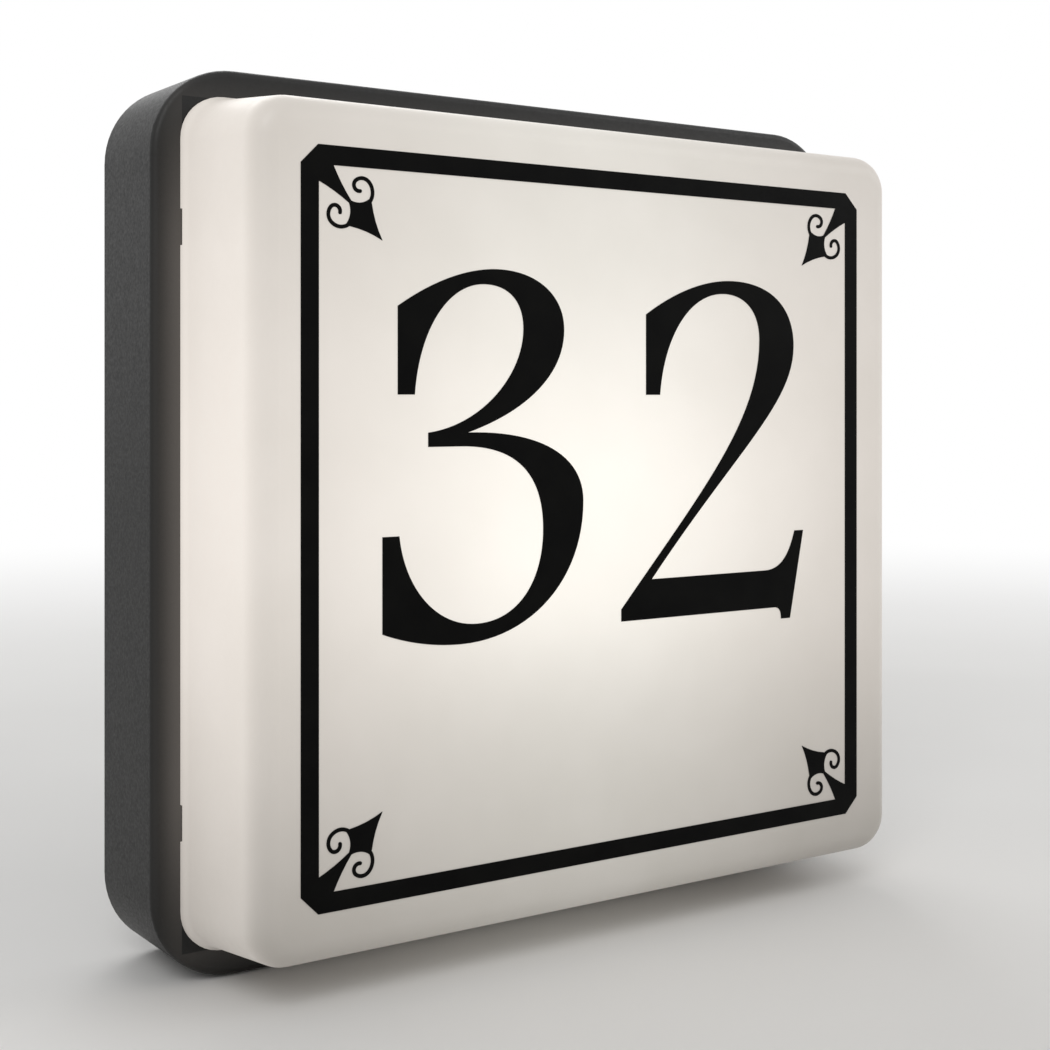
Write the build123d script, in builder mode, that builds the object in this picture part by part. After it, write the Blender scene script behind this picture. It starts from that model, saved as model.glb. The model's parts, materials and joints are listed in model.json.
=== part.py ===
"""Illuminated house number sign.

A square light box for a house wall: a black moulded tray, an opal cover with drafted walls,
black cut film on its face and, inside, a screw-in lamp with its holder, wiring and terminals.

The sign hangs on a wall. +X is to the right, +Z is up and the face looks along -Y. The origin
is the middle of the pad that rests on the wall, so a height in front of the wall is measured
along -Y. All sizes are in millimetres.
"""

import os
from math import atan2, degrees, radians, sin, sqrt, tan

from build123d import *

os.makedirs("parts", exist_ok=True)

# ---------------------------------------------------------------- driving dimensions
# Base tray
BASE_SIZE = 280.0
BASE_CORNER = 27.0
BASE_HEIGHT = 40.0
LEDGE_WIDTH = 9.0
BASE_SHELL = 2.5
BASE_EDGE = 2.2
LEDGE = 3.5
FLOOR = 3.0
FLOOR_GAP = 2.0
SPIGOT = 5.0
RIB_COUNT = 7
RIB_THICK = 1.6
RIB_SETBACK = 3.0
CENTRE_PAD_R = 20.0

# Wall screw slots
SCREW_INSET = 35.0
SLOT_LENGTH = 10.0
SLOT_WIDTH = 5.0
SLOT_BORDER = 3.0
SLOT_COLLAR = 2.0

# Opal cover
COVER_TAPER = 4.0
COVER_CORNER = 14.0
COVER_DEPTH = 45.0
COVER_WALL = 2.5
FACE_EDGE = 6.0
FLANGE = 3.0
FLANGE_LIP = 1.4
SEAL_DEPTH = 1.5
SEAL_MARGIN = 0.8
NOTCH_LENGTH = 11.2
NOTCH_DEPTH = 1.4
BEAD_HEIGHT = 1.0
BEAD_RISE = 1.5

# Black film on the face
FILM_MARGIN = 14.1
FILM_SHIFT_X = -1.7
FILM_SHIFT_Z = 0.6
FILM_STROKE = 5.8
FILM_CHAMFER = 5.6
FILM_THICK = 0.25
SCROLL_BAND = 1.15
# points of the corner ornament: along the diagonal from the inner corner, and across it
STEM_FOOT = (3.4, 3.4)
STEM_WAIST = (8.0, 1.9)
STEM_TIP = (14.5, 0.5)
BOWL_SIDE = (16.8, 2.2)
BOWL_RIM = (18.2, 5.45)
SPADE_HORN = (19.6, 5.1)
SPADE_FLANK = (23.0, 2.9)
SPADE_TIP = (29.8, 0.0)
SCROLL_ROOT = (18.9, 4.8)
SCROLL_SIDE = (17.6, 7.5)
SCROLL_TOP = (14.6, 8.8)
SCROLL_BACK = (11.3, 5.8)
SCROLL_END = (14.5, 4.7)

# Cover clips
CLIP_INSET = 33.5
CLIP_WIDTH = 14.0
CLIP_THICK = 0.6
CLIP_FOOT = 12.0
CLIP_SEAT = 14.0
BOSS_WIDTH = 18.0
CLIP_SCREW_BITE = 6.0

# Reflector plate
PLATE_MARGIN = 24.0
PLATE_CHAMFER = 20.0
PLATE_THICK = 0.8
POST_INSET = 12.0
POST_R = 5.0
POST_HEIGHT = 3.0

# Lamp, E27 screw cap
GLOBE_R = 30.0
GLOBE_WALL = 1.2
GLOBE_CUT = 13.0
GLOBE_X = -12.0
BULB_LENGTH = 108.0
CAP_LENGTH = 26.0
CAP_R = 13.05
CAP_WALL = 0.9
NECK_R = 14.0
NECK_LENGTH = 7.0
NECK_BLEND = 15.0
BOARD_R = 22.0
BOARD_THICK = 1.6
CHIP_COUNT = 8

# Lampholder
HOLDER_R = 20.0
HOLDER_BASE = 14.0
SHELL_WALL = 0.8
SHELL_LENGTH = 19.0
THREAD_GAP = 0.35
HOLDER_SCREW_SPACING = 16.0
HOLDER_WIRE_Z = 9.0

# Bracket
BRACKET_THICK = 1.5
BRACKET_FOOT = 27.0
BRACKET_WIDTH = 60.0
BRACKET_TOP = 36.0
BRACKET_SCREW_SPACING = 48.0

# Terminals and wiring
POLE_PITCH = 11.0
BLOCK_WIDTH = 20.0
BLOCK_HEIGHT = 13.0
BLOCK_CLEAR = 19.0
WIRE_HEIGHT = 6.5
INSERT_R = 2.6
INSERT_BORE = 1.5
LEAD_R = 1.1
LEAD_WALL_GAP = 14.5
LEAD_SPACING = 7.0
LEAD_SLOPE = 28.0
LEAD_CLIMB = 8.0
LEAD_CROSSING = 12.0
GROMMET_X = -60.0
GROMMET_BORE = 4.0
GROMMET_NECK = 8.0
GROMMET_FLANGE = 11.0
CLAMP_X = -34.0
CLAMP_LENGTH = 34.0
CLAMP_WIDTH = 10.0
CLAMP_HEIGHT = 8.0
CLAMP_ARCH = 4.6
TAG_X = 56.0
TAG_R = 5.0
TAG_THICK = 0.8

# Screws
HEAD_R = 3.4
HEAD_HEIGHT = 2.3
SHANK_R = 1.6
BITE = 0.5
GAP = 0.3
SIDE_GAP = 0.1

# ---------------------------------------------------------------- derived sizes and places
floor_front = FLOOR_GAP + FLOOR
ledge_back = BASE_HEIGHT - LEDGE
spigot_front = BASE_HEIGHT + SPIGOT
flange_front = BASE_HEIGHT + FLANGE
face_front = BASE_HEIGHT + COVER_DEPTH
face_back = face_front - COVER_WALL

channel_outer = BASE_SIZE - 2 * BASE_SHELL
flange_size = BASE_SIZE - 2 * LEDGE_WIDTH
flange_corner = COVER_CORNER + FLANGE_LIP
cover_back = flange_size - 2 * FLANGE_LIP
cover_front = cover_back - 2 * COVER_TAPER
cover_inner = cover_back - 2 * COVER_WALL
cover_inner_corner = COVER_CORNER - COVER_WALL
spigot_size = cover_inner - 4 * GAP
spigot_corner = cover_inner_corner - 2 * GAP
tray_size = spigot_size - 2 * BASE_SHELL
tray_corner = spigot_corner - BASE_SHELL
seal_outer = flange_size - 2 * SEAL_MARGIN
seal_outer_corner = flange_corner - SEAL_MARGIN
seal_inner = spigot_size + 2 * SEAL_MARGIN
seal_inner_corner = spigot_corner + SEAL_MARGIN

channel_width = (channel_outer - spigot_size) / 2
rib_middle = (channel_outer + spigot_size) / 4
rib_pitch = (spigot_size - 2 * BASE_CORNER) / (RIB_COUNT - 1)

screw_pitch = BASE_SIZE - 2 * SCREW_INSET
clip_z = tray_size / 2 - CLIP_INSET
plate_size = tray_size - 2 * PLATE_MARGIN
post_pitch = plate_size - 2 * POST_INSET
plate_back = floor_front + POST_HEIGHT
plate_front = plate_back + PLATE_THICK
bulb_height = (plate_front + face_back) / 2
draft_angle = degrees(atan2(COVER_TAPER, COVER_DEPTH - FLANGE))


def cover_inner_half(height):
    """Half of the cover's inside width at a height in front of the wall."""
    return cover_inner / 2 - (height - flange_front) * tan(radians(draft_angle))


bead_back = spigot_front + 2 * GAP
bead_front = bead_back + BEAD_RISE
crest_height = bead_front + 2.0
leaf_x = tray_size / 2 - GAP - CLIP_THICK / 2
crest_x = cover_inner_half(crest_height) - GAP - CLIP_THICK / 2
clip_screw_x = leaf_x - CLIP_FOOT / 2

dome_end_x = GLOBE_X - GLOBE_R
globe_cut_x = GLOBE_X + GLOBE_CUT
globe_cut_r = sqrt(GLOBE_R**2 - GLOBE_CUT**2)
tip_x = dome_end_x + BULB_LENGTH
shoulder_x = tip_x - CAP_LENGTH
mouth_x = shoulder_x + 1.0
contact_x = tip_x + GAP
cavity_x = tip_x + 4.0
holder_back_x = cavity_x + HOLDER_BASE
bracket_x = holder_back_x + BRACKET_THICK

block_length = 3 * POLE_PITCH + 1.0
block_z = -(GLOBE_R + BLOCK_CLEAR + block_length / 2)
wire_height = plate_front + WIRE_HEIGHT
film_size = cover_front - 2 * FILM_MARGIN
inner_film = film_size / 2 - FILM_STROKE


def front_of_wall(height):
    """Plane parallel to the wall at a height in front of it: its x is +X and its y is +Z."""
    return Plane.XZ.offset(height)


bulb_plane = Plane(origin=(0, -bulb_height, 0), x_dir=(1, 0, 0), z_dir=(0, 0, 1))
bulb_axis = Axis((0, -bulb_height, 0), (1, 0, 0))


# ---------------------------------------------------------------- base tray
with BuildPart() as base_housing:
    with BuildSketch(front_of_wall(0)):
        RectangleRounded(BASE_SIZE, BASE_SIZE, BASE_CORNER)
    extrude(amount=BASE_HEIGHT)
    fillet(base_housing.faces().sort_by(Axis.Y)[0].edges(), BASE_EDGE)
    # hollow rim, open towards the wall
    with BuildSketch(front_of_wall(0)):
        RectangleRounded(channel_outer, channel_outer, BASE_CORNER - BASE_SHELL)
        RectangleRounded(spigot_size, spigot_size, spigot_corner, mode=Mode.SUBTRACT)
    extrude(amount=ledge_back, mode=Mode.SUBTRACT)
    # tray in front of the floor, and the shallow recess behind it
    with BuildSketch(front_of_wall(floor_front)):
        RectangleRounded(tray_size, tray_size, tray_corner)
    extrude(amount=BASE_HEIGHT, mode=Mode.SUBTRACT)
    with BuildSketch(front_of_wall(0)):
        RectangleRounded(tray_size, tray_size, tray_corner)
    extrude(amount=FLOOR_GAP, mode=Mode.SUBTRACT)
    # spigot that the cover fits over
    with BuildSketch(front_of_wall(BASE_HEIGHT)):
        RectangleRounded(spigot_size, spigot_size, spigot_corner)
        RectangleRounded(tray_size, tray_size, tray_corner, mode=Mode.SUBTRACT)
    extrude(amount=SPIGOT)
    # groove for the seal
    with BuildSketch(front_of_wall(BASE_HEIGHT)):
        RectangleRounded(seal_outer, seal_outer, seal_outer_corner)
        RectangleRounded(seal_inner, seal_inner, seal_inner_corner, mode=Mode.SUBTRACT)
    extrude(amount=-SEAL_DEPTH, mode=Mode.SUBTRACT)
    # stiffening ribs across the hollow rim
    with BuildSketch(front_of_wall(RIB_SETBACK)):
        with GridLocations(rib_pitch, 2 * rib_middle, RIB_COUNT, 2):
            Rectangle(RIB_THICK, channel_width + 2 * BITE)
        with GridLocations(2 * rib_middle, rib_pitch, 2, RIB_COUNT):
            Rectangle(channel_width + 2 * BITE, RIB_THICK)
    extrude(amount=ledge_back + BITE - RIB_SETBACK)
    # pads that rest on the wall
    with BuildSketch(front_of_wall(0)):
        Circle(CENTRE_PAD_R)
        with GridLocations(screw_pitch, screw_pitch, 2, 2):
            SlotOverall(SLOT_LENGTH + 2 * SLOT_BORDER, SLOT_WIDTH + 2 * SLOT_BORDER)
    extrude(amount=FLOOR_GAP + BITE)
    # collars, clip bosses and plate posts on the floor
    with BuildSketch(front_of_wall(floor_front - BITE)):
        with GridLocations(screw_pitch, screw_pitch, 2, 2):
            SlotOverall(SLOT_LENGTH + 2 * SLOT_BORDER, SLOT_WIDTH + 2 * SLOT_BORDER)
    extrude(amount=SLOT_COLLAR + BITE)
    with BuildSketch(front_of_wall(floor_front - BITE)):
        with GridLocations(2 * clip_screw_x, 2 * clip_z, 2, 2):
            Rectangle(CLIP_FOOT + 4 * GAP, BOSS_WIDTH)
    extrude(amount=CLIP_SEAT - floor_front + BITE)
    with BuildSketch(front_of_wall(floor_front - BITE)):
        with GridLocations(post_pitch, post_pitch, 2, 2):
            Circle(POST_R)
    extrude(amount=POST_HEIGHT + BITE)
    # wall screw slots, cable hole and pilot holes
    with BuildSketch(front_of_wall(0)):
        with GridLocations(screw_pitch, screw_pitch, 2, 2):
            SlotOverall(SLOT_LENGTH, SLOT_WIDTH)
    extrude(amount=floor_front + SLOT_COLLAR, mode=Mode.SUBTRACT)
    with BuildSketch(front_of_wall(0)):
        with Locations((GROMMET_X, block_z)):
            Circle(GROMMET_NECK + SIDE_GAP)
    extrude(amount=floor_front, mode=Mode.SUBTRACT)
    with BuildSketch(front_of_wall(CLIP_SEAT)):
        with GridLocations(2 * clip_screw_x, 2 * clip_z, 2, 2):
            Circle(SHANK_R + SIDE_GAP)
    extrude(amount=-(CLIP_SEAT - floor_front), mode=Mode.SUBTRACT)
    with BuildSketch(front_of_wall(plate_back)):
        with GridLocations(post_pitch, post_pitch, 2, 2):
            Circle(SHANK_R + SIDE_GAP)
    extrude(amount=-(POST_HEIGHT + FLOOR - 1.0), mode=Mode.SUBTRACT)

with BuildPart() as cover_seal:
    with BuildSketch(front_of_wall(BASE_HEIGHT)):
        seal_play = 2 * SIDE_GAP
        RectangleRounded(seal_outer - seal_play, seal_outer - seal_play, seal_outer_corner)
        RectangleRounded(seal_inner + seal_play, seal_inner + seal_play, seal_inner_corner,
                         mode=Mode.SUBTRACT)
    extrude(amount=-SEAL_DEPTH)

with BuildPart() as cable_grommet:
    with BuildSketch(front_of_wall(GAP)):
        with Locations((GROMMET_X, block_z)):
            Circle(GROMMET_FLANGE)
    extrude(amount=FLOOR_GAP - GAP)
    with BuildSketch(front_of_wall(FLOOR_GAP)):
        with Locations((GROMMET_X, block_z)):
            Circle(GROMMET_NECK)
    extrude(amount=FLOOR)
    with BuildSketch(front_of_wall(floor_front)):
        with Locations((GROMMET_X, block_z)):
            Circle(GROMMET_FLANGE)
    extrude(amount=FLOOR_GAP)
    with BuildSketch(front_of_wall(0)):
        with Locations((GROMMET_X, block_z)):
            Circle(GROMMET_BORE)
    extrude(amount=plate_front, mode=Mode.SUBTRACT)


# ---------------------------------------------------------------- opal cover
with BuildPart() as cover_hollow:
    with BuildSketch(front_of_wall(flange_front)):
        RectangleRounded(cover_inner, cover_inner, cover_inner_corner)
    extrude(amount=face_back - flange_front)
    draft(cover_hollow.faces().filter_by(Axis.Y, reverse=True), front_of_wall(flange_front), draft_angle)
    extrude(cover_hollow.faces().sort_by(Axis.Y)[-1], amount=FLANGE)
    fillet(cover_hollow.faces().sort_by(Axis.Y)[0].edges(), FACE_EDGE - COVER_WALL)

with BuildPart() as diffuser:
    with BuildSketch(front_of_wall(flange_front)):
        RectangleRounded(cover_back, cover_back, COVER_CORNER)
    extrude(amount=COVER_DEPTH - FLANGE)
    draft(diffuser.faces().filter_by(Axis.Y, reverse=True), front_of_wall(flange_front), draft_angle)
    fillet(diffuser.faces().sort_by(Axis.Y)[0].edges(), FACE_EDGE)
    with BuildSketch(front_of_wall(BASE_HEIGHT)):
        RectangleRounded(flange_size, flange_size, flange_corner)
    extrude(amount=FLANGE)
    add(cover_hollow.part, mode=Mode.SUBTRACT)
    # catch beads that the clips hook over
    bead_tip = cover_inner_half(bead_front) - BEAD_HEIGHT
    bead_length = COVER_WALL / 2 + cover_inner / 2 - bead_tip
    with BuildSketch(front_of_wall(bead_back)):
        with GridLocations(2 * bead_tip + bead_length, 2 * clip_z, 2, 2):
            Rectangle(bead_length, CLIP_WIDTH)
    extrude(amount=BEAD_RISE)
    # release notches in the back edge of the flange, beside the clips
    with BuildSketch(front_of_wall(BASE_HEIGHT)):
        with GridLocations(flange_size, 2 * clip_z, 2, 2):
            Rectangle(2 * FLANGE_LIP, NOTCH_LENGTH)
    extrude(amount=NOTCH_DEPTH, mode=Mode.SUBTRACT)


with BuildSketch() as corner_ornament:
    with BuildLine():
        ThreePointArc(STEM_FOOT, STEM_WAIST, STEM_TIP)
        ThreePointArc(STEM_TIP, BOWL_SIDE, BOWL_RIM)
        Line(BOWL_RIM, SPADE_HORN)
        ThreePointArc(SPADE_HORN, SPADE_FLANK, SPADE_TIP)
        Polyline(SPADE_TIP, (-BITE, 0), STEM_FOOT)
    make_face()
    with BuildLine():
        outer_turn = ThreePointArc(SCROLL_ROOT, SCROLL_SIDE, SCROLL_TOP)
        back_turn = TangentArc(SCROLL_TOP, SCROLL_BACK, tangent=outer_turn % 1)
        TangentArc(SCROLL_BACK, SCROLL_END, tangent=back_turn % 1)
        offset(amount=SCROLL_BAND / 2, side=Side.BOTH)
    make_face()
    mirror(about=Plane.XZ)

with BuildPart() as border_film:
    with BuildSketch(front_of_wall(face_front)) as film_outline:
        with Locations((FILM_SHIFT_X, FILM_SHIFT_Z)):
            Rectangle(film_size, film_size)
        chamfer(film_outline.vertices(), FILM_CHAMFER)
        with Locations((FILM_SHIFT_X, FILM_SHIFT_Z)):
            Rectangle(2 * inner_film, 2 * inner_film, mode=Mode.SUBTRACT)
            with PolarLocations(inner_film * sqrt(2), 4, start_angle=45):
                add(corner_ornament.sketch, rotation=180)
    extrude(amount=FILM_THICK)


# ---------------------------------------------------------------- screws
def screw_group(plane, seats, shank_length):
    """Pan-head screws, heads standing on the plane at the given seats."""
    with BuildPart() as group:
        with BuildSketch(plane):
            with Locations(*seats):
                Circle(HEAD_R)
        extrude(amount=HEAD_HEIGHT)
        heads = group.faces().filter_by(plane).sort_by(Axis(plane.origin, plane.z_dir))
        chamfer(heads[-len(seats):].edges(), HEAD_HEIGHT / 3, HEAD_HEIGHT / 2)
        with BuildSketch(plane):
            with Locations(*seats):
                Circle(SHANK_R)
        extrude(amount=-shank_length)
    return group


def four_corners(half_x, half_z):
    """The four seats of a rectangle about the middle of the sign."""
    return [(x, z) for x in (half_x, -half_x) for z in (half_z, -half_z)]


# ---------------------------------------------------------------- clips and reflector
with BuildPart() as cover_clips:
    with BuildSketch(Plane.XY.offset(clip_z)):
        with BuildLine():
            foot_height = CLIP_SEAT + CLIP_THICK / 2
            FilletPolyline(
                (leaf_x - CLIP_FOOT, -foot_height),
                (leaf_x, -foot_height),
                (leaf_x, -(spigot_front + GAP)),
                (crest_x, -crest_height),
                (leaf_x, -(crest_height + 4.0)),
                radius=1.0,
            )
        trace(line_width=CLIP_THICK)
    extrude(amount=CLIP_WIDTH / 2, both=True)
    with BuildSketch(front_of_wall(CLIP_SEAT)):
        with Locations((clip_screw_x, clip_z)):
            Circle(SHANK_R + SIDE_GAP)
    extrude(amount=CLIP_THICK, mode=Mode.SUBTRACT)
    mirror(about=Plane.XY)
    mirror(about=Plane.YZ)

clip_screws = screw_group(front_of_wall(CLIP_SEAT + CLIP_THICK), four_corners(clip_screw_x, clip_z),
                          CLIP_THICK + CLIP_SCREW_BITE)

bracket_screw_x = bracket_x - 0.7 * BRACKET_FOOT
bracket_seats = [(bracket_screw_x, s * BRACKET_SCREW_SPACING / 2) for s in (1, -1)]
clamp_screw_z = (CLAMP_ARCH + CLAMP_LENGTH / 2) / 2 + 1.0
clamp_seats = [(CLAMP_X, block_z + s * clamp_screw_z) for s in (1, -1)]
tag_seat = (TAG_X, block_z - POLE_PITCH)
block_seat = (0, block_z + POLE_PITCH / 2)
plate_holes = bracket_seats + clamp_seats + [tag_seat, block_seat]

with BuildPart() as reflector_plate:
    with BuildSketch(front_of_wall(plate_back)) as plate_outline:
        Rectangle(plate_size, plate_size)
        chamfer(plate_outline.vertices(), PLATE_CHAMFER)
        with Locations((GROMMET_X, block_z)):
            Circle(GROMMET_FLANGE + 5 * GAP, mode=Mode.SUBTRACT)
        with GridLocations(post_pitch, post_pitch, 2, 2):
            Circle(SHANK_R + SIDE_GAP, mode=Mode.SUBTRACT)
        with Locations(*plate_holes):
            Circle(SHANK_R + SIDE_GAP, mode=Mode.SUBTRACT)
    extrude(amount=PLATE_THICK)

reflector_screws = screw_group(front_of_wall(plate_front), four_corners(post_pitch / 2, post_pitch / 2),
                               PLATE_THICK + POST_HEIGHT)


# ---------------------------------------------------------------- lamp
with BuildPart() as bulb_globe:
    with BuildSketch(bulb_plane):
        with BuildLine():
            inner_r = GLOBE_R - GLOBE_WALL
            inner_cut_r = sqrt(inner_r**2 - GLOBE_CUT**2)
            half_turn = GLOBE_R * sin(radians(45))
            inner_half_turn = inner_r * sin(radians(45))
            ThreePointArc((globe_cut_x, globe_cut_r), (GLOBE_X - half_turn, half_turn), (dome_end_x, 0))
            Line((dome_end_x, 0), (dome_end_x + GLOBE_WALL, 0))
            ThreePointArc((dome_end_x + GLOBE_WALL, 0), (GLOBE_X - inner_half_turn, inner_half_turn),
                          (globe_cut_x, inner_cut_r))
            Line((globe_cut_x, inner_cut_r), (globe_cut_x, globe_cut_r))
        make_face()
    revolve(axis=bulb_axis)

with BuildPart() as bulb_housing:
    with BuildSketch(bulb_plane):
        with BuildLine():
            plug_r = CAP_R - CAP_WALL
            FilletPolyline((globe_cut_x, globe_cut_r), (shoulder_x - NECK_LENGTH, NECK_R),
                           (shoulder_x, NECK_R), radius=NECK_BLEND)
            Polyline((shoulder_x, NECK_R), (shoulder_x, plug_r),
                     (shoulder_x + 6.0, plug_r), (shoulder_x + 6.0, 0), (globe_cut_x, 0),
                     (globe_cut_x, globe_cut_r))
        make_face()
    revolve(axis=bulb_axis)

with BuildPart() as bulb_board:
    with BuildSketch(Plane.YZ.offset(globe_cut_x)):
        with Locations((-bulb_height, 0)):
            Circle(BOARD_R)
    extrude(amount=-BOARD_THICK)
    with BuildSketch(Plane.YZ.offset(globe_cut_x - BOARD_THICK)):
        with Locations((-bulb_height, 0)):
            with PolarLocations(0.65 * BOARD_R, CHIP_COUNT):
                Rectangle(3.0, 3.0)
    extrude(amount=-0.7)

insulator_x = tip_x - 1.8
crimp_x = tip_x - 6.5
with BuildPart() as bulb_cap:
    with BuildSketch(bulb_plane):
        with BuildLine():
            Polyline((shoulder_x, plug_r), (shoulder_x, CAP_R), (crimp_x - 2.0, CAP_R),
                     (crimp_x, CAP_R - 1.6), (crimp_x, plug_r - 1.6), (crimp_x - 2.0, plug_r),
                     (shoulder_x, plug_r))
        make_face()
    revolve(axis=bulb_axis)

with BuildPart() as bulb_insulator:
    with BuildSketch(bulb_plane):
        with BuildLine():
            Polyline((crimp_x - 1.5, 0), (crimp_x - 1.5, plug_r - 1.8), (crimp_x, plug_r - 1.8),
                     (insulator_x, 5.5), (insulator_x, 0), (crimp_x - 1.5, 0))
        make_face()
    revolve(axis=bulb_axis)

with BuildPart() as bulb_contact:
    with BuildSketch(Plane.YZ.offset(insulator_x)):
        with Locations((-bulb_height, 0)):
            Circle(4.8)
    extrude(amount=tip_x - insulator_x)
    chamfer(bulb_contact.faces().sort_by(Axis.X)[-1].edges(), 1.0)


# ---------------------------------------------------------------- lampholder and bracket
shell_bore = CAP_R + THREAD_GAP
shell_r = shell_bore + SHELL_WALL
cavity_r = shell_r + SIDE_GAP
shell_seat_x = mouth_x + 2.5 + SHELL_LENGTH
terminal_x = holder_back_x - HOLDER_BASE / 2 + 1.5
terminal_flat = HOLDER_R / 2
holder_screw_heights = (-0.55 * HOLDER_R, -0.55 * HOLDER_R + HOLDER_SCREW_SPACING)
wire_hole_r = LEAD_R + 0.5
wire_depth = 8.0

with BuildPart() as holder_body:
    with BuildSketch(bulb_plane):
        with BuildLine():
            Polyline((mouth_x, cavity_r + 1.2), (mouth_x, HOLDER_R - 1.5), (mouth_x + 1.5, HOLDER_R),
                     (cavity_x + 1.5, HOLDER_R), (cavity_x + 1.5, HOLDER_R - 2.5),
                     (holder_back_x, HOLDER_R - 2.5), (holder_back_x, 0), (cavity_x, 0),
                     (cavity_x, cavity_r - 2.0), (shell_seat_x, cavity_r - 2.0),
                     (shell_seat_x, cavity_r), (mouth_x + 2.5, cavity_r),
                     (mouth_x + 1.3, cavity_r + 1.2), (mouth_x, cavity_r + 1.2))
        make_face()
    revolve(axis=bulb_axis)
    # flat for the terminals on the front of the base block
    with BuildSketch(front_of_wall(bulb_height + terminal_flat)):
        with Locations((holder_back_x, 0)):
            Rectangle(2 * (HOLDER_BASE - 1.5), 3 * HOLDER_R)
    extrude(amount=HOLDER_R, mode=Mode.SUBTRACT)
    with BuildSketch(Plane.YZ.offset(holder_back_x)):
        with Locations((-bulb_height, HOLDER_WIRE_Z), (-bulb_height, -HOLDER_WIRE_Z)):
            Circle(wire_hole_r)
    extrude(amount=-wire_depth, mode=Mode.SUBTRACT)
    with BuildSketch(front_of_wall(bulb_height + terminal_flat)):
        with Locations((terminal_x, HOLDER_WIRE_Z), (terminal_x, -HOLDER_WIRE_Z)):
            Circle(SHANK_R + SIDE_GAP)
    extrude(amount=-terminal_flat, mode=Mode.SUBTRACT)
    with BuildSketch(Plane.YZ.offset(holder_back_x)):
        with Locations(*[(-(bulb_height + h), 0) for h in holder_screw_heights]):
            Circle(SHANK_R + SIDE_GAP)
    extrude(amount=-7.0, mode=Mode.SUBTRACT)

with BuildPart() as holder_shell:
    with BuildSketch(bulb_plane):
        with BuildLine():
            Polyline((mouth_x + 2.5, shell_bore), (mouth_x + 2.5, shell_r), (shell_seat_x, shell_r),
                     (shell_seat_x, shell_bore - 0.9), (shell_seat_x - SHELL_WALL, shell_bore - 0.9),
                     (shell_seat_x - SHELL_WALL, shell_bore), (mouth_x + 2.5, shell_bore))
        make_face()
    revolve(axis=bulb_axis)

with BuildPart() as holder_contact:
    with BuildSketch(Plane.XZ.offset(bulb_height - 3.0)):
        with BuildLine():
            strip = 0.5
            FilletPolyline((cavity_x - strip / 2, -10.0), (cavity_x - strip / 2, -5.0),
                           (contact_x + strip / 2, 0.0), (contact_x + strip / 2, 3.5), radius=1.5)
        trace(line_width=strip)
    extrude(amount=6.0)

holder_terminal_screws = screw_group(
    front_of_wall(bulb_height + terminal_flat),
    [(terminal_x, HOLDER_WIRE_Z), (terminal_x, -HOLDER_WIRE_Z)],
    terminal_flat - LEAD_R - SIDE_GAP,
)

with BuildPart() as holder_bracket:
    with BuildSketch(Plane.XY):
        with BuildLine():
            middle = BRACKET_THICK / 2
            FilletPolyline(
                (bracket_x - BRACKET_FOOT, -(plate_front + middle)),
                (bracket_x - middle, -(plate_front + middle)),
                (bracket_x - middle, -(bulb_height + terminal_flat + 2.0)),
                radius=3 * middle,
            )
        trace(line_width=BRACKET_THICK)
    extrude(amount=BRACKET_WIDTH / 2, both=True)
    # upright narrows towards its top
    for side in (1, -1):
        with BuildSketch(Plane.YZ.offset(bracket_x - 2 * BRACKET_THICK)):
            with BuildLine():
                Polyline((-(plate_front + 8.0), side * BRACKET_WIDTH / 2),
                         (-(bulb_height - 8.0), side * BRACKET_TOP / 2),
                         (-(face_front), side * BRACKET_TOP / 2),
                         (-(face_front), side * BRACKET_WIDTH),
                         (-(plate_front + 8.0), side * BRACKET_WIDTH),
                         (-(plate_front + 8.0), side * BRACKET_WIDTH / 2))
            make_face()
        extrude(amount=3 * BRACKET_THICK, mode=Mode.SUBTRACT)
    with BuildSketch(front_of_wall(plate_front)):
        with Locations(*bracket_seats):
            Circle(SHANK_R + SIDE_GAP)
    extrude(amount=BRACKET_THICK, mode=Mode.SUBTRACT)
    with BuildSketch(Plane.YZ.offset(holder_back_x)):
        with Locations((-bulb_height, HOLDER_WIRE_Z), (-bulb_height, -HOLDER_WIRE_Z)):
            Circle(2.5 * LEAD_R)
        with Locations(*[(-(bulb_height + h), 0) for h in holder_screw_heights]):
            Circle(SHANK_R + SIDE_GAP)
    extrude(amount=BRACKET_THICK, mode=Mode.SUBTRACT)

bracket_screws = screw_group(front_of_wall(plate_front + BRACKET_THICK), bracket_seats,
                             BRACKET_THICK + PLATE_THICK + 2.0)
holder_screws = screw_group(
    Plane.YZ.offset(bracket_x),
    [(-(bulb_height + h), 0) for h in holder_screw_heights],
    BRACKET_THICK + 6.0,
)


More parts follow.
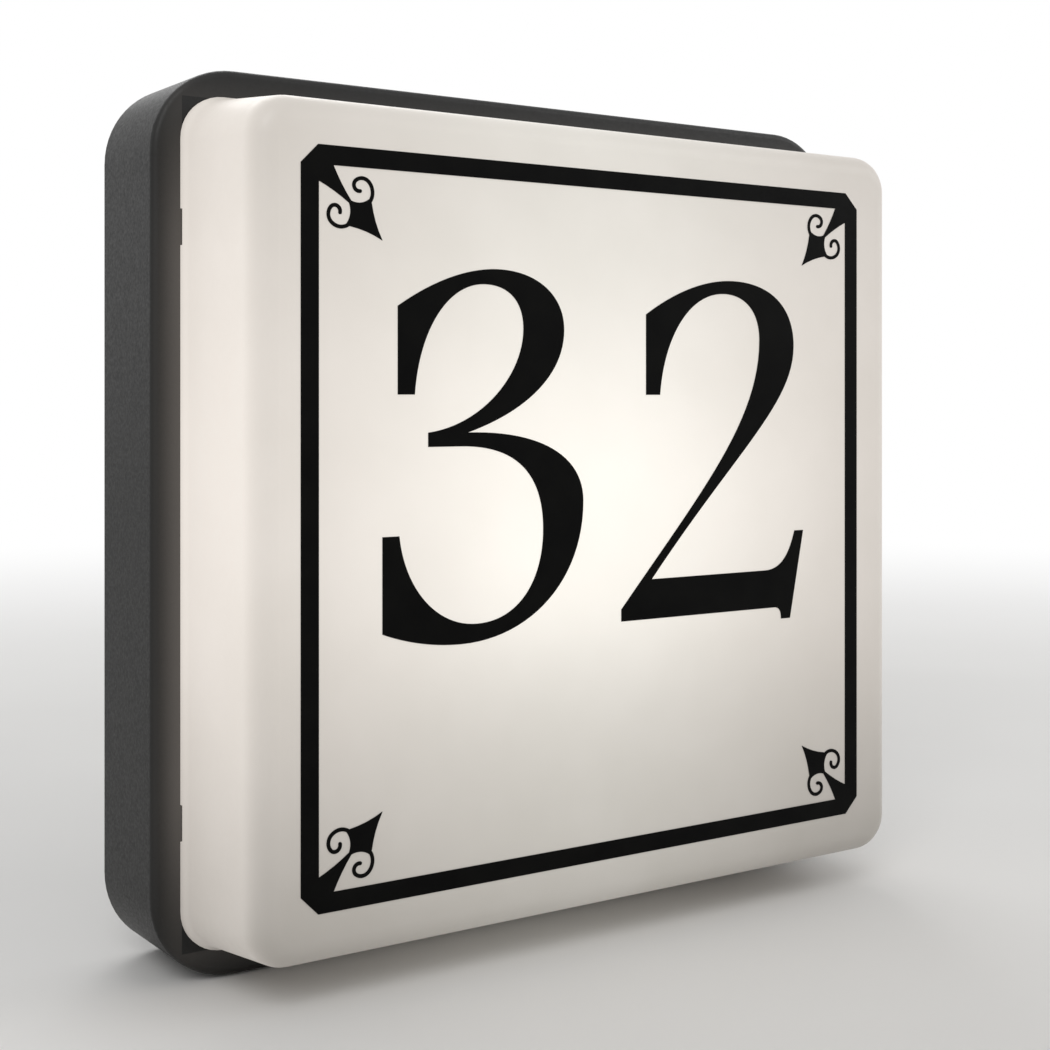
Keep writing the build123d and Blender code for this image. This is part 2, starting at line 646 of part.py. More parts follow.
# ---------------------------------------------------------------- terminals
pole_zs = [block_z + POLE_PITCH, block_z, block_z - POLE_PITCH]
screw_row = BLOCK_WIDTH / 4
with BuildPart() as terminal_block:
    with BuildSketch(front_of_wall(plate_front)) as block_outline:
        with Locations((0, block_z)):
            Rectangle(BLOCK_WIDTH, block_length)
        fillet(block_outline.vertices(), 1.0)
    extrude(amount=BLOCK_HEIGHT - 3.0)
    with BuildSketch(front_of_wall(plate_front + BLOCK_HEIGHT - 3.0 - BITE)):
        with Locations(*[(x, z) for z in pole_zs for x in (screw_row, -screw_row)]):
            Circle(SHANK_R + 2.0)
    extrude(amount=3.0 + BITE)
    with BuildSketch(Plane.YZ.offset(-BLOCK_WIDTH / 2)):
        with Locations(*[(-wire_height, z) for z in pole_zs]):
            Circle(INSERT_R + SIDE_GAP)
    extrude(amount=BLOCK_WIDTH, mode=Mode.SUBTRACT)
    with BuildSketch(front_of_wall(wire_height)):
        with Locations(*[(x, z) for z in pole_zs for x in (screw_row, -screw_row)]):
            Circle(SHANK_R + SIDE_GAP)
    extrude(amount=BLOCK_HEIGHT, mode=Mode.SUBTRACT)
    with BuildSketch(front_of_wall(plate_front)):
        with Locations(block_seat):
            Circle(SHANK_R + SIDE_GAP)
    extrude(amount=BLOCK_HEIGHT, mode=Mode.SUBTRACT)

with BuildPart() as terminal_inserts:
    with BuildSketch(Plane.YZ.offset(-(BLOCK_WIDTH / 2 - 1.5))):
        with Locations(*[(-wire_height, z) for z in pole_zs]):
            Circle(INSERT_R)
            Circle(INSERT_BORE, mode=Mode.SUBTRACT)
    extrude(amount=BLOCK_WIDTH - 3.0)

with BuildPart() as terminal_screws:
    with BuildSketch(front_of_wall(wire_height + INSERT_R)):
        with Locations(*[(x, z) for z in pole_zs for x in (screw_row, -screw_row)]):
            Circle(SHANK_R)
    extrude(amount=BLOCK_HEIGHT - WIRE_HEIGHT - INSERT_R - 1.0)

terminal_block_screw = screw_group(front_of_wall(plate_front + BLOCK_HEIGHT - 3.0), [block_seat],
                                   BLOCK_HEIGHT - 3.0 + PLATE_THICK + 2.0)

with BuildPart() as cable_clamp:
    with BuildSketch(Plane.YZ.offset(CLAMP_X - CLAMP_WIDTH / 2)) as saddle:
        with Locations((-(plate_front + CLAMP_HEIGHT / 2), block_z)):
            Rectangle(CLAMP_HEIGHT, CLAMP_LENGTH)
        with Locations((-plate_front, block_z)):
            Circle(CLAMP_ARCH, mode=Mode.SUBTRACT)
    extrude(amount=CLAMP_WIDTH)
    fillet(cable_clamp.faces().sort_by(Axis.Y)[0].edges(), 1.2)
    with BuildSketch(front_of_wall(plate_front)):
        with Locations(*clamp_seats):
            Circle(SHANK_R + SIDE_GAP)
    extrude(amount=CLAMP_HEIGHT, mode=Mode.SUBTRACT)

clamp_screws = screw_group(front_of_wall(plate_front + CLAMP_HEIGHT), clamp_seats,
                           CLAMP_HEIGHT + PLATE_THICK + 2.0)

barrel_x = TAG_X - TAG_R - 5.0
barrel_bore = LEAD_R + SIDE_GAP
tag_height = plate_front + TAG_THICK + barrel_bore
with BuildPart() as earth_tag:
    with BuildSketch(front_of_wall(plate_front)):
        with Locations(tag_seat):
            Circle(TAG_R)
        with Locations((TAG_X - TAG_R - 1.0, tag_seat[1])):
            Rectangle(TAG_R + 3.0, 3.0)
        with Locations(tag_seat):
            Circle(SHANK_R + SIDE_GAP, mode=Mode.SUBTRACT)
    extrude(amount=TAG_THICK)
    with BuildSketch(Plane.YZ.offset(barrel_x - 2.0)):
        with Locations((-tag_height, tag_seat[1])):
            Circle(barrel_bore + TAG_THICK)
            Circle(barrel_bore, mode=Mode.SUBTRACT)
    extrude(amount=5.0)

earth_screw = screw_group(front_of_wall(plate_front + TAG_THICK), [tag_seat],
                          TAG_THICK + PLATE_THICK + 2.0)


# ---------------------------------------------------------------- leads
def bend_radii(points):
    """The largest tangent arc that the two runs at each corner of a lead allow."""
    corners = [Vector(*p) for p in points]
    radii = []
    for before, corner, after in zip(corners, corners[1:], corners[2:]):
        arriving = corner - before
        leaving = after - corner
        turn = arriving.get_angle(leaving)
        radii.append(0.45 * min(arriving.length, leaving.length) / tan(radians(turn / 2)))
    return radii


def lead(label, route):
    """A sheathed lead along (x, z, height) points, with tangent arcs at its corners."""
    points = [(x, -height, z) for x, z, height in route]
    radii = bend_radii(points)
    with BuildPart() as piece:
        with BuildLine() as path:
            FilletPolyline(*points, radius=radii)
        with BuildSketch(Plane(origin=path.line @ 0, z_dir=path.line % 0)):
            Circle(LEAD_R)
        sweep()
    length = sum(edge.length for edge in path.edges())
    print(label, "bends", [round(r, 1) for r in radii], "length", round(length, 1))
    return piece


lead_start = BLOCK_WIDTH / 2 - 3.0
lead_end = holder_back_x - wire_depth + 1.0
neutral_x = tray_size / 2 - LEAD_WALL_GAP
live_x = neutral_x - LEAD_SPACING
live_wire = lead("live_wire", [
    (lead_start, pole_zs[0], wire_height),
    (live_x - LEAD_SLOPE, pole_zs[0], wire_height),
    (live_x, pole_zs[0] + 0.75 * LEAD_SLOPE, wire_height + LEAD_CLIMB),
    (live_x, -HOLDER_WIRE_Z, bulb_height),
    (lead_end, -HOLDER_WIRE_Z, bulb_height),
])
neutral_wire = lead("neutral_wire", [
    (lead_start, pole_zs[1], wire_height),
    (neutral_x - 1.05 * LEAD_SLOPE, pole_zs[1], wire_height),
    (neutral_x, pole_zs[1] + 0.85 * LEAD_SLOPE, wire_height + 0.6 * LEAD_CLIMB),
    (neutral_x, -LEAD_CROSSING, bulb_height - LEAD_CLIMB / 2),
    (neutral_x, HOLDER_WIRE_Z, bulb_height),
    (lead_end, HOLDER_WIRE_Z, bulb_height),
])
earth_wire = lead("earth_wire", [
    (lead_start, pole_zs[2], wire_height),
    (lead_start + 14.0, pole_zs[2], wire_height),
    (barrel_x - 12.0, pole_zs[2], tag_height),
    (barrel_x + 1.0, pole_zs[2], tag_height),
])


# ---------------------------------------------------------------- export
pieces = {
    "base_housing": base_housing,
    "cover_seal": cover_seal,
    "cable_grommet": cable_grommet,
    "diffuser": diffuser,
    "border_film": border_film,
    "cover_clips": cover_clips,
    "clip_screws": clip_screws,
    "reflector_plate": reflector_plate,
    "reflector_screws": reflector_screws,
    "bulb_globe": bulb_globe,
    "bulb_housing": bulb_housing,
    "bulb_board": bulb_board,
    "bulb_cap": bulb_cap,
    "bulb_insulator": bulb_insulator,
    "bulb_contact": bulb_contact,
    "holder_body": holder_body,
    "holder_shell": holder_shell,
    "holder_contact": holder_contact,
    "holder_terminal_screws": holder_terminal_screws,
    "holder_bracket": holder_bracket,
    "bracket_screws": bracket_screws,
    "holder_screws": holder_screws,
    "terminal_block": terminal_block,
    "terminal_inserts": terminal_inserts,
    "terminal_screws": terminal_screws,
    "terminal_block_screw": terminal_block_screw,
    "cable_clamp": cable_clamp,
    "clamp_screws": clamp_screws,
    "earth_tag": earth_tag,
    "earth_screw": earth_screw,
    "live_wire": live_wire,
    "neutral_wire": neutral_wire,
    "earth_wire": earth_wire,
}
for name, piece in pieces.items():
    piece.part.label = name
    export_step(piece.part, f"parts/{name}.step")
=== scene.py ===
# %% [markdown]
# A lit house number sign
#
# The real object is a square light box that hangs on a house wall: a black moulded tray, an
# opal cover that glows, and black cut film on its face. Inside are a screw-in lamp, its holder
# and the wiring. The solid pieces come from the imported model. This lesson makes the cover again
# with softer edges, adds the numerals, the screw threads and the screws, and gives every piece a
# surface that is worked out by nodes.

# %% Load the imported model
import json
import math

import bmesh
import bpy
from mathutils import Matrix, Vector


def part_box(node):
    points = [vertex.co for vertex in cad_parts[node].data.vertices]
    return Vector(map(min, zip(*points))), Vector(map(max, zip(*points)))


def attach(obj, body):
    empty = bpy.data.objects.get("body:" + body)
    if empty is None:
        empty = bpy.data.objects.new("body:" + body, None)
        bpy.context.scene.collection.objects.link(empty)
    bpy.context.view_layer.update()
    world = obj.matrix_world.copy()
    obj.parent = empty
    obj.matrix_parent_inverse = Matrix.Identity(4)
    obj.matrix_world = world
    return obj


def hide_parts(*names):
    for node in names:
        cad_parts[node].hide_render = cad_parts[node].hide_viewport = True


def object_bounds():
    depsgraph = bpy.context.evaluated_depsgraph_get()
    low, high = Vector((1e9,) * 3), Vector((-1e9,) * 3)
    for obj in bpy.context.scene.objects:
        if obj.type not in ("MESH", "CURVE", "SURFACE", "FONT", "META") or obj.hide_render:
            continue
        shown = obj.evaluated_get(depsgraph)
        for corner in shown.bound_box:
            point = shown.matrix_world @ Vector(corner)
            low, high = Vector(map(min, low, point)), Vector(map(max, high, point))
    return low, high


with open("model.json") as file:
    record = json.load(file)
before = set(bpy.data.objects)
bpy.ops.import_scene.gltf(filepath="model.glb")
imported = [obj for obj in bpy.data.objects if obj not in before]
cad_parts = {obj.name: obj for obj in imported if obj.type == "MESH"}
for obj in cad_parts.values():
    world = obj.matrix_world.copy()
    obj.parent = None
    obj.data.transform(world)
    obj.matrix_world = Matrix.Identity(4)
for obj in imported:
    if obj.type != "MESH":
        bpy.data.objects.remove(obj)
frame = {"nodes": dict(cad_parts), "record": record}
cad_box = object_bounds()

MM = 0.001
nodes = frame["nodes"]
print("nodes", len(nodes), "box", [round(v, 4) for corner in cad_box for v in corner])

# %% [markdown]
# The camera
#
# The upright edges in the photograph stay parallel, so the camera is level and its picture is
# shifted instead of tilted. It stands to the left of the sign, 44 cm in front of its face,
# turned 34 degrees to the right. A level camera with a shift is how such pictures are taken.

# %% Camera
PICTURE = 1050
FOCAL_PIXELS = 1699.7
HORIZON_ROW = 397.5
CAMERA_TURN = math.radians(-34.29)
CAMERA_PLACE = Vector((-0.3352, -0.5251, 0.0387))
SENSOR = 36.0

lens = bpy.data.cameras.new("camera")
lens.sensor_width = SENSOR
lens.lens = FOCAL_PIXELS * SENSOR / PICTURE
lens.shift_y = (HORIZON_ROW - PICTURE / 2) / PICTURE
camera = bpy.data.objects.new("camera", lens)
camera.location = CAMERA_PLACE
camera.rotation_euler = (math.radians(90), 0, CAMERA_TURN)
bpy.context.scene.collection.objects.link(camera)
bpy.context.scene.camera = camera
print("lens", round(lens.lens, 1), "mm, shift", round(lens.shift_y, 3))

# %% [markdown]
# Colours and nodes
#
# Colours are written as the hex values that a colour picker shows, and one function turns them
# into the linear values that light is worked out in. One more function adds a node, so that each
# material reads as a short list of steps.


# %% Colours
def colour(code):
    """A hex colour as linear red, green, blue and an alpha of 1."""
    parts = [int(code[i : i + 2], 16) / 255 for i in (1, 3, 5)]
    line = [c / 12.92 if c <= 0.04045 else ((c + 0.055) / 1.055) ** 2.4 for c in parts]
    return (*line, 1.0)


def grey(value):
    """A plain grey of this linear value."""
    return (value, value, value, 1.0)


print("white is", colour("#ffffff"))


# %% Nodes, and wearing a material
def add(tree, kind, links=None, stops=(), **settings):
    """Adds a node. links sets or joins its inputs, stops are the (place, colour) of a ramp."""
    node = tree.nodes.new("ShaderNode" + kind)
    for key, value in settings.items():
        setattr(node, key, value)
    for key, value in (links or {}).items():
        if isinstance(value, bpy.types.NodeSocket):
            tree.links.new(value, node.inputs[key])
        else:
            node.inputs[key].default_value = value
    for number, (where, shade) in enumerate(stops):
        bar = node.color_ramp.elements
        element = bar[number] if number < len(bar) else bar.new(where)
        element.position = where
        element.color = shade
    return node


def per_mm(size):
    """The texture scale at which one cell is this many millimetres wide."""
    return 1.0 / (size * MM)


def put(piece, material):
    """The piece wears this material only."""
    piece.data.materials.clear()
    piece.data.materials.append(material)
    print(piece.name, "wears", material.name)


print("a cell of 1 mm has the scale", per_mm(1))

# %% [markdown]
# A first coat for every surface
#
# No real surface has one flat colour. Under a finish lie three things: slow patches, from a few
# millimetres wide on a screw to a few centimetres on the cover, a fine grain that changes the
# gloss, and the relief of that same grain. One function lays these three. A finish that needs
# more is opened again and added to, and one that only differs in how it mirrors names the
# shader's own sockets.

# %% The common ground of all finishes
TONE_STOPS = (0.32, 0.68)
GRAIN_SPAN = (0.3, 0.7)
NOISE_DETAIL = 3.0
RELIEF_STRENGTH = 0.6


def ground(name, tones, patch_mm, grain_mm, rough, relief_mm, stretch=(1, 1, 1), sockets=None):
    """A material with patches of two tones, and a grain in its gloss and relief."""
    material = bpy.data.materials.new(name)
    material.use_nodes = True
    tree = material.node_tree
    shader = tree.nodes["Principled BSDF"]
    place = add(tree, "TexCoord", name="place").outputs["Object"]
    patch = add(tree, "TexNoise", {"Vector": place, "Scale": per_mm(patch_mm),
                                   "Detail": NOISE_DETAIL})
    tone = add(tree, "ValToRGB", {"Fac": patch.outputs["Fac"]}, name="tone",
               stops=[(where, colour(code)) for where, code in zip(TONE_STOPS, tones)])
    tree.links.new(tone.outputs[0], shader.inputs["Base Color"])
    along = add(tree, "Mapping", {"Vector": place, "Scale": stretch})
    grain = add(tree, "TexNoise", {"Vector": along.outputs[0], "Scale": per_mm(grain_mm),
                                   "Detail": NOISE_DETAIL})
    gloss = add(tree, "MapRange", {"Value": grain.outputs["Fac"],
                                   "From Min": GRAIN_SPAN[0], "From Max": GRAIN_SPAN[1],
                                   "To Min": rough[0], "To Max": rough[1]})
    tree.links.new(gloss.outputs[0], shader.inputs["Roughness"])
    relief = add(tree, "Bump", {"Height": grain.outputs["Fac"], "Distance": relief_mm * MM,
                                "Strength": RELIEF_STRENGTH})
    tree.links.new(relief.outputs[0], shader.inputs["Normal"])
    for socket, value in (sockets or {}).items():
        shader.inputs[socket].default_value = value
    print("laid", name)
    return material


print("a ground has tones at", TONE_STOPS)


# %% Opening a finish, to add what is its own
def opened(material):
    """What a finish is added to: the tree, the shader, the place and the tone."""
    tree = material.node_tree
    place = tree.nodes["place"].outputs["Object"]
    return tree, tree.nodes["Principled BSDF"], place, tree.nodes["tone"].outputs[0]


print("finishes can be opened")

# %% [markdown]
# The glow of the opal cover
#
# Opal acrylic scatters the lamp's light, so the whole cover shines. It is brightest in front of
# the lamp, falls off softly towards the edges, and is darkest at the bottom, where the terminals
# stand in the light. That could be done with a lamp and real scattering, but this would be noisy
# and slow, so the glow is an emission that is worked out from the place on the cover. Two ramps
# hold it by height, one for the edges and one for what the middle adds.

# %% How bright the cover is, by place
FACE_Y = cad_box[0].y
GLOW_HALF = 0.13
# height above the middle in mm, glow at the edges of the face, what the middle adds
GLOW_ROWS = [(-128, 0.04, 0.10), (-110, 0.09, 0.17), (-81, 0.21, 0.15), (-55, 0.29, 0.17),
             (-27, 0.31, 0.44), (9, 0.35, 0.45), (45, 0.37, 0.30), (81, 0.35, 0.19),
             (117, 0.30, 0.14)]
MIDDLE_X = -10 * MM
MIDDLE_REACH = 68 * MM
# what the left and right walls add, how far behind the face and how far from the middle
WALL_GLOW = 0.17
WALL_BEHIND = (0.2 * MM, 9 * MM)
WALL_ACROSS = (0.116, 0.124)
# how much of the light reaches the left end and the right end
END_LIGHT = (1.02, 0.93)
MOTTLE_MM = 35
MOTTLE_DETAIL = 2.0
MOTTLE = (0.97, 1.03)
EDGE_TINT = "#fff5ed"
MIDDLE_TINT = "#fffbf3"
print("glow in", len(GLOW_ROWS), "rows, middle at", round(MIDDLE_X / MM), "mm")

# %% Opal acrylic, vacuum formed: satin, with the lamp's light spread through it
opal = ground("opal_acrylic_satin", ("#9b9790", "#a19d97"), patch_mm=35, grain_mm=2.2,
              rough=(0.38, 0.48), relief_mm=0.02, sockets={"IOR": 1.49})
tree, shader, place, _ = opened(opal)
axes = add(tree, "SeparateXYZ", {0: place})
height = add(tree, "MapRange", {"Value": axes.outputs["Z"], "From Min": -GLOW_HALF,
                                "From Max": GLOW_HALF}).outputs[0]
glows = []
for column in (1, 2):
    stops = [((row[0] * MM + GLOW_HALF) / (2 * GLOW_HALF), grey(row[column])) for row in GLOW_ROWS]
    by_height = add(tree, "ValToRGB", {"Fac": height}, stops=stops)
    by_height.color_ramp.interpolation = "B_SPLINE"
    glows.append(by_height.outputs[0])
edge_glow, middle_glow = glows

# %% A bell across the width, exp(-d * d / 2), lifts the middle
across = add(tree, "Math", {0: axes.outputs["X"], 1: MIDDLE_X}, operation="SUBTRACT").outputs[0]
across = add(tree, "Math", {0: across, 1: MIDDLE_REACH}, operation="DIVIDE").outputs[0]
squared = add(tree, "Math", {0: across, 1: across}, operation="MULTIPLY").outputs[0]
falling = add(tree, "Math", {0: squared, 1: -0.5}, operation="MULTIPLY").outputs[0]
bell = add(tree, "Math", {0: falling}, operation="EXPONENT").outputs[0]
glow = add(tree, "Math", {0: bell, 1: middle_glow, 2: edge_glow},
           operation="MULTIPLY_ADD").outputs[0]
print("middle reaches", round(MIDDLE_REACH / MM), "mm to each side")

# %% Walls, ends and the slow unevenness of the formed sheet
# the left and right walls shine more than the rim of the face
behind = add(tree, "MapRange", {"Value": axes.outputs["Y"], "To Min": 0.0, "To Max": WALL_GLOW,
                                "From Min": FACE_Y + WALL_BEHIND[0],
                                "From Max": FACE_Y + WALL_BEHIND[1]},
             interpolation_type="SMOOTHSTEP").outputs[0]
wide = add(tree, "Math", {0: axes.outputs["X"]}, operation="ABSOLUTE").outputs[0]
at_wall = add(tree, "MapRange", {"Value": wide, "From Min": WALL_ACROSS[0],
                                 "From Max": WALL_ACROSS[1]}).outputs[0]
glow = add(tree, "Math", {0: behind, 1: at_wall, 2: glow}, operation="MULTIPLY_ADD").outputs[0]
# the holder and the leads stand on the right, so a little less light reaches that end
ends = add(tree, "MapRange", {"Value": axes.outputs["X"], "From Min": -GLOW_HALF,
                              "From Max": GLOW_HALF, "To Min": END_LIGHT[0],
                              "To Max": END_LIGHT[1]}).outputs[0]
cloud = add(tree, "TexNoise", {"Vector": place, "Scale": per_mm(MOTTLE_MM),
                               "Detail": MOTTLE_DETAIL})
mottle = add(tree, "MapRange", {"Value": cloud.outputs["Fac"], "To Min": MOTTLE[0],
                                "To Max": MOTTLE[1]}).outputs[0]
for factor in (ends, mottle):
    glow = add(tree, "Math", {0: glow, 1: factor}, operation="MULTIPLY").outputs[0]
warmth = add(tree, "ValToRGB", {"Fac": bell},
             stops=[(0.0, colour(EDGE_TINT)), (1.0, colour(MIDDLE_TINT))])
tree.links.new(warmth.outputs[0], shader.inputs["Emission Color"])
tree.links.new(glow, shader.inputs["Emission Strength"])
print("opal has", len(tree.nodes), "nodes")

# %% [markdown]
# Moulded black plastic
#
# The tray is moulded ABS with a fine spark-eroded grain, real at about 0.4 mm and drawn at 0.9 mm
# so that it shows. The ledge round the cover is lit by the wall of the cover that stands on it, and
# that light is painted: a band beside the cover gets a faint warm painted glow, an emission that
# fades outwards. It is strongest at the left and right, where the ends of the lamp are.

# %% ABS, moulded: black and grained
LEDGE_Y = FACE_Y + 45.25 * MM
# the band's light beside the cover and at the tray's edge, and where these are from the middle
BAND_LIGHT = (0.075, 0.012)
BAND_INNER = 0.1305
BAND_OUTER = 0.1395
# how far behind the ledge the band ends
BAND_BEHIND = (0.5 * MM, 2.0 * MM)
# the height from which the band dims at the left and right, and what is left of it
DIM_HEIGHTS = (0.075, 0.135)
DIM_LEFT = 0.2
# the emission colour is the warm light painted on the ledge below
abs_black = ground("abs_moulded_grain", ("#090909", "#0e0e0d"), patch_mm=22, grain_mm=0.9,
                   rough=(0.4, 0.56), relief_mm=0.03,
                   sockets={"IOR": 1.53, "Specular IOR Level": 0.3,
                            "Emission Color": colour("#fff2e6")})
put(nodes["base_housing"], abs_black)

# %% Its lit ledge, a painted glow
tree, shader, place, _ = opened(abs_black)
axes = add(tree, "SeparateXYZ", {0: place})
wide = add(tree, "Math", {0: axes.outputs["X"]}, operation="ABSOLUTE").outputs[0]
tall = add(tree, "Math", {0: axes.outputs["Z"]}, operation="ABSOLUTE").outputs[0]
outward = add(tree, "Math", {0: wide, 1: tall}, operation="MAXIMUM").outputs[0]
painted_ledge_glow = add(tree, "MapRange", {"Value": outward, "From Min": BAND_INNER, "From Max": BAND_OUTER,
                               "To Min": BAND_LIGHT[0], "To Max": BAND_LIGHT[1]},
            interpolation_type="SMOOTHSTEP").outputs[0]
on_top = add(tree, "MapRange", {"Value": axes.outputs["Y"], "To Min": 1.0, "To Max": 0.0,
                                "From Min": LEDGE_Y + BAND_BEHIND[0],
                                "From Max": LEDGE_Y + BAND_BEHIND[1]}).outputs[0]
at_side = add(tree, "MapRange", {"Value": tall, "To Min": 1.0, "To Max": DIM_LEFT,
                                 "From Min": DIM_HEIGHTS[0], "From Max": DIM_HEIGHTS[1]},
              interpolation_type="SMOOTHSTEP").outputs[0]
# nothing of it falls under the cover or on the spigot
outside = add(tree, "Math", {0: outward, 1: BAND_INNER}, operation="GREATER_THAN").outputs[0]
for factor in (on_top, at_side, outside):
    painted_ledge_glow = add(tree, "Math", {0: painted_ledge_glow, 1: factor}, operation="MULTIPLY").outputs[0]
tree.links.new(painted_ledge_glow, shader.inputs["Emission Strength"])
print("ledge at", round(LEDGE_Y / MM, 1), "mm")

# %% [markdown]
# Cut film
#
# The line, the corner ornaments and the numerals are cut from black self-adhesive vinyl. It is
# smooth, with a faint orange peel, and has a soft haze in patches of a centimetre or two. Film on
# a lit cover looks nearly black, so its mirror is kept weak.

# %% Vinyl film, calendered: black, with a weak soft sheen
vinyl = ground("vinyl_film_calendered", ("#070707", "#0d0d0c"), patch_mm=14, grain_mm=1.6,
               rough=(0.35, 0.5), relief_mm=0.008,
               sockets={"IOR": 1.5, "Specular IOR Level": 0.04})
put(nodes["border_film"], vinyl)

# %% [markdown]
# The numerals
#
# The numerals are old-style figures with thick and thin strokes, plain numbers as a plotter cuts
# them. Each is one closed outline of straight cuts and curves. A flat filled curve holds such an
# outline with few points, is made thick, turned into a mesh and then laid on the face. The
# outlines are drawn for a film square of 221.4 mm and fitted to the real one.

# %% Numerals drawn as outlines, in millimetres
THREE = [(-78.8, 65.0),
         (-66.5, 73.0, -54.0, 77.3, -43.3, 77.3), (-28.5, 77.3, -18.3, 70.0, -18.3, 59.2),
         (-18.3, 45.0, -33.0, 33.5, -54.2, 27.2), (-28.0, 27.6, -10.8, 19.5, -10.8, 5.0),
         (-10.8, -20.0, -31.0, -37.0, -56.7, -37.0), (-68.0, -37.0, -77.5, -34.5, -84.0, -32.0),
         (-84.0, -3.3), (-78.3, -3.3),
         (-76.5, -19.0, -65.5, -31.2, -50.8, -31.2), (-35.5, -31.2, -26.3, -19.5, -26.3, -3.3),
         (-26.3, 14.0, -36.5, 23.0, -56.7, 23.0), (-68.3, 23.0), (-68.3, 27.3),
         (-49.0, 29.5, -33.8, 45.0, -33.8, 59.2), (-33.8, 67.5, -39.0, 72.5, -48.0, 72.5),
         (-61.5, 72.5, -71.5, 58.0, -73.0, 38.7), (-78.8, 38.7)]
TWO = [(14.7, 65.0),
       (27.5, 73.2, 40.5, 77.3, 51.7, 77.3), (69.0, 77.3, 80.0, 69.5, 80.0, 55.8),
       (80.0, 36.0, 54.0, 20.0, 17.0, -21.7), (66.7, -21.7),
       (74.5, -21.7, 78.0, -16.5, 80.5, -8.5), (84.5, -8.5), (78.3, -38.8), (74.2, -38.8),
       (74.2, -36.0, 73.3, -34.7, 70.8, -34.7), (4.5, -34.7), (4.5, -30.8),
       (38.0, 6.0, 64.2, 30.0, 64.2, 57.5), (64.2, 67.5, 57.5, 72.8, 48.3, 72.8),
       (32.5, 72.8, 22.0, 57.0, 20.5, 38.7), (14.7, 38.7)]
print("outlines of", len(THREE), "and", len(TWO), "cuts")


# %% A closed outline as a curve
def cut_shape(curve, outline):
    """Adds one closed outline: a pair is a straight cut, six numbers are a curved one.

    The six are two handles and the end. A straight cut has its handles at its thirds.
    """
    ends = [Vector((*step[-2:], 0)) for step in outline]
    spline = curve.splines.new("BEZIER")
    spline.bezier_points.add(len(ends) - 1)
    spline.use_cyclic_u = True
    for i, point in enumerate(spline.bezier_points):
        here, last, following = ends[i], ends[i - 1], ends[(i + 1) % len(ends)]
        before, after = outline[i], outline[(i + 1) % len(ends)]
        arriving = Vector((*before[2:4], 0)) if len(before) == 6 else here.lerp(last, 1 / 3)
        leaving = Vector((*after[0:2], 0)) if len(after) == 6 else here.lerp(following, 1 / 3)
        point.handle_left_type = point.handle_right_type = "FREE"
        point.co = here * MM
        point.handle_left = arriving * MM
        point.handle_right = leaving * MM


figures = bpy.data.curves.new("numerals", "CURVE")
for outline in (THREE, TWO):
    cut_shape(figures, outline)
print("curve of", len(figures.splines), "outlines")

# %% The curve filled, made as thick as the film and turned into a mesh
DRAWN_FOR = 221.4 * MM
CURVE_STEPS = 24
film_low, film_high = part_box("border_film")
film_middle = (film_low + film_high) / 2
film_fit = (film_high.x - film_low.x) / DRAWN_FOR
film_thick = film_high.y - film_low.y
figures.dimensions = "2D"
figures.fill_mode = "BOTH"
figures.extrude = film_thick / 2 / film_fit
figures.resolution_u = CURVE_STEPS
drawn = bpy.data.objects.new("numerals_drawn", figures)
bpy.context.scene.collection.objects.link(drawn)
bpy.context.view_layer.update()
sheet = bpy.data.meshes.new_from_object(drawn)
bpy.data.objects.remove(drawn)
print("film fitted by", round(film_fit, 4), "and moved to", [round(v / MM, 1) for v in film_middle])

# %% [markdown]
# How a new piece ends
#
# Every new piece ends in the same way: its doubles are merged, its faces turned outwards, it is
# told which body it rides on and which finish it wears, and the solid that it stands for is hidden.

# %% Finishing a new piece
# points closer than this are one
MERGE = 0.001 * MM


def as_object(name, shape):
    """An object at the origin, made from a bmesh."""
    mesh = bpy.data.meshes.new(name)
    shape.to_mesh(mesh)
    shape.free()
    thing = bpy.data.objects.new(name, mesh)
    bpy.context.scene.collection.objects.link(thing)
    return thing


def finish_piece(name, shape, material, body, stands_for=()):
    """Turns a bmesh into an object that rides on a body."""
    bmesh.ops.remove_doubles(shape, verts=shape.verts, dist=MERGE)
    bmesh.ops.recalc_face_normals(shape, faces=shape.faces)
    piece = as_object(name, shape)
    put(piece, material)
    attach(piece, body)
    if stands_for:
        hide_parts(*stands_for)
    print(name, len(piece.data.polygons), "faces")
    return piece


def smooth(piece, degrees=35):
    """Soft shading, with an edge wherever two faces meet at more than this angle."""
    piece.data.shade_smooth()
    piece.data.set_sharp_from_angle(angle=math.radians(degrees))


print("new pieces can be finished")

# %% [markdown]
# The cover, softened as forming leaves it
#
# A cover formed from a hot sheet has no crisp line anywhere: its lip runs into the wall in a
# small curve, and the face rolls over into the walls. The solid keeps these plain, so the cover
# is made again in the same place. It is a stack of squares with round corners, each a little
# smaller than the last, joined ring to ring outside and inside. The four beads for the clips are
# added and the four release notches are cut, where the solid has them.

# %% Rows of the cover, outside and inside
# millimetres in front of the back, millimetres in from the lip, corner radius
OUTSIDE = [(0.0, 0.0, 13.6), (1.2, 0.0, 13.6), (2.2, 0.25, 13.7), (3.2, 0.75, 13.8),
           (4.5, 1.1, 13.8), (6.5, 1.35, 13.8)]
INSIDE = [(0.0, 3.9, 11.5), (3.0, 3.9, 11.5)]
# where the face starts to roll over, and the inset, corner and radius of the roll
ROLL_START = 37.0
OUTER_ROLL = (4.35, 12.8, 8.0)
INNER_ROLL = (7.15, 8.3, 5.5)
ROLL_STEPS = 7


def rolled(rows, roll):
    """The rows and, after them, a round-over from the wall to the face."""
    inset, corner, radius = roll
    turns = [math.pi / 2 * step / ROLL_STEPS for step in range(ROLL_STEPS + 1)]
    return rows + [(ROLL_START + radius * math.sin(t), inset + radius * (1 - math.cos(t)),
                    corner - radius * (1 - math.cos(t))) for t in turns]


outer_rows, inner_rows = rolled(OUTSIDE, OUTER_ROLL), rolled(INSIDE, INNER_ROLL)
print("rings outside", len(outer_rows), "and inside", len(inner_rows))

# %% The rings joined into a shell
CORNER_STEPS = 10
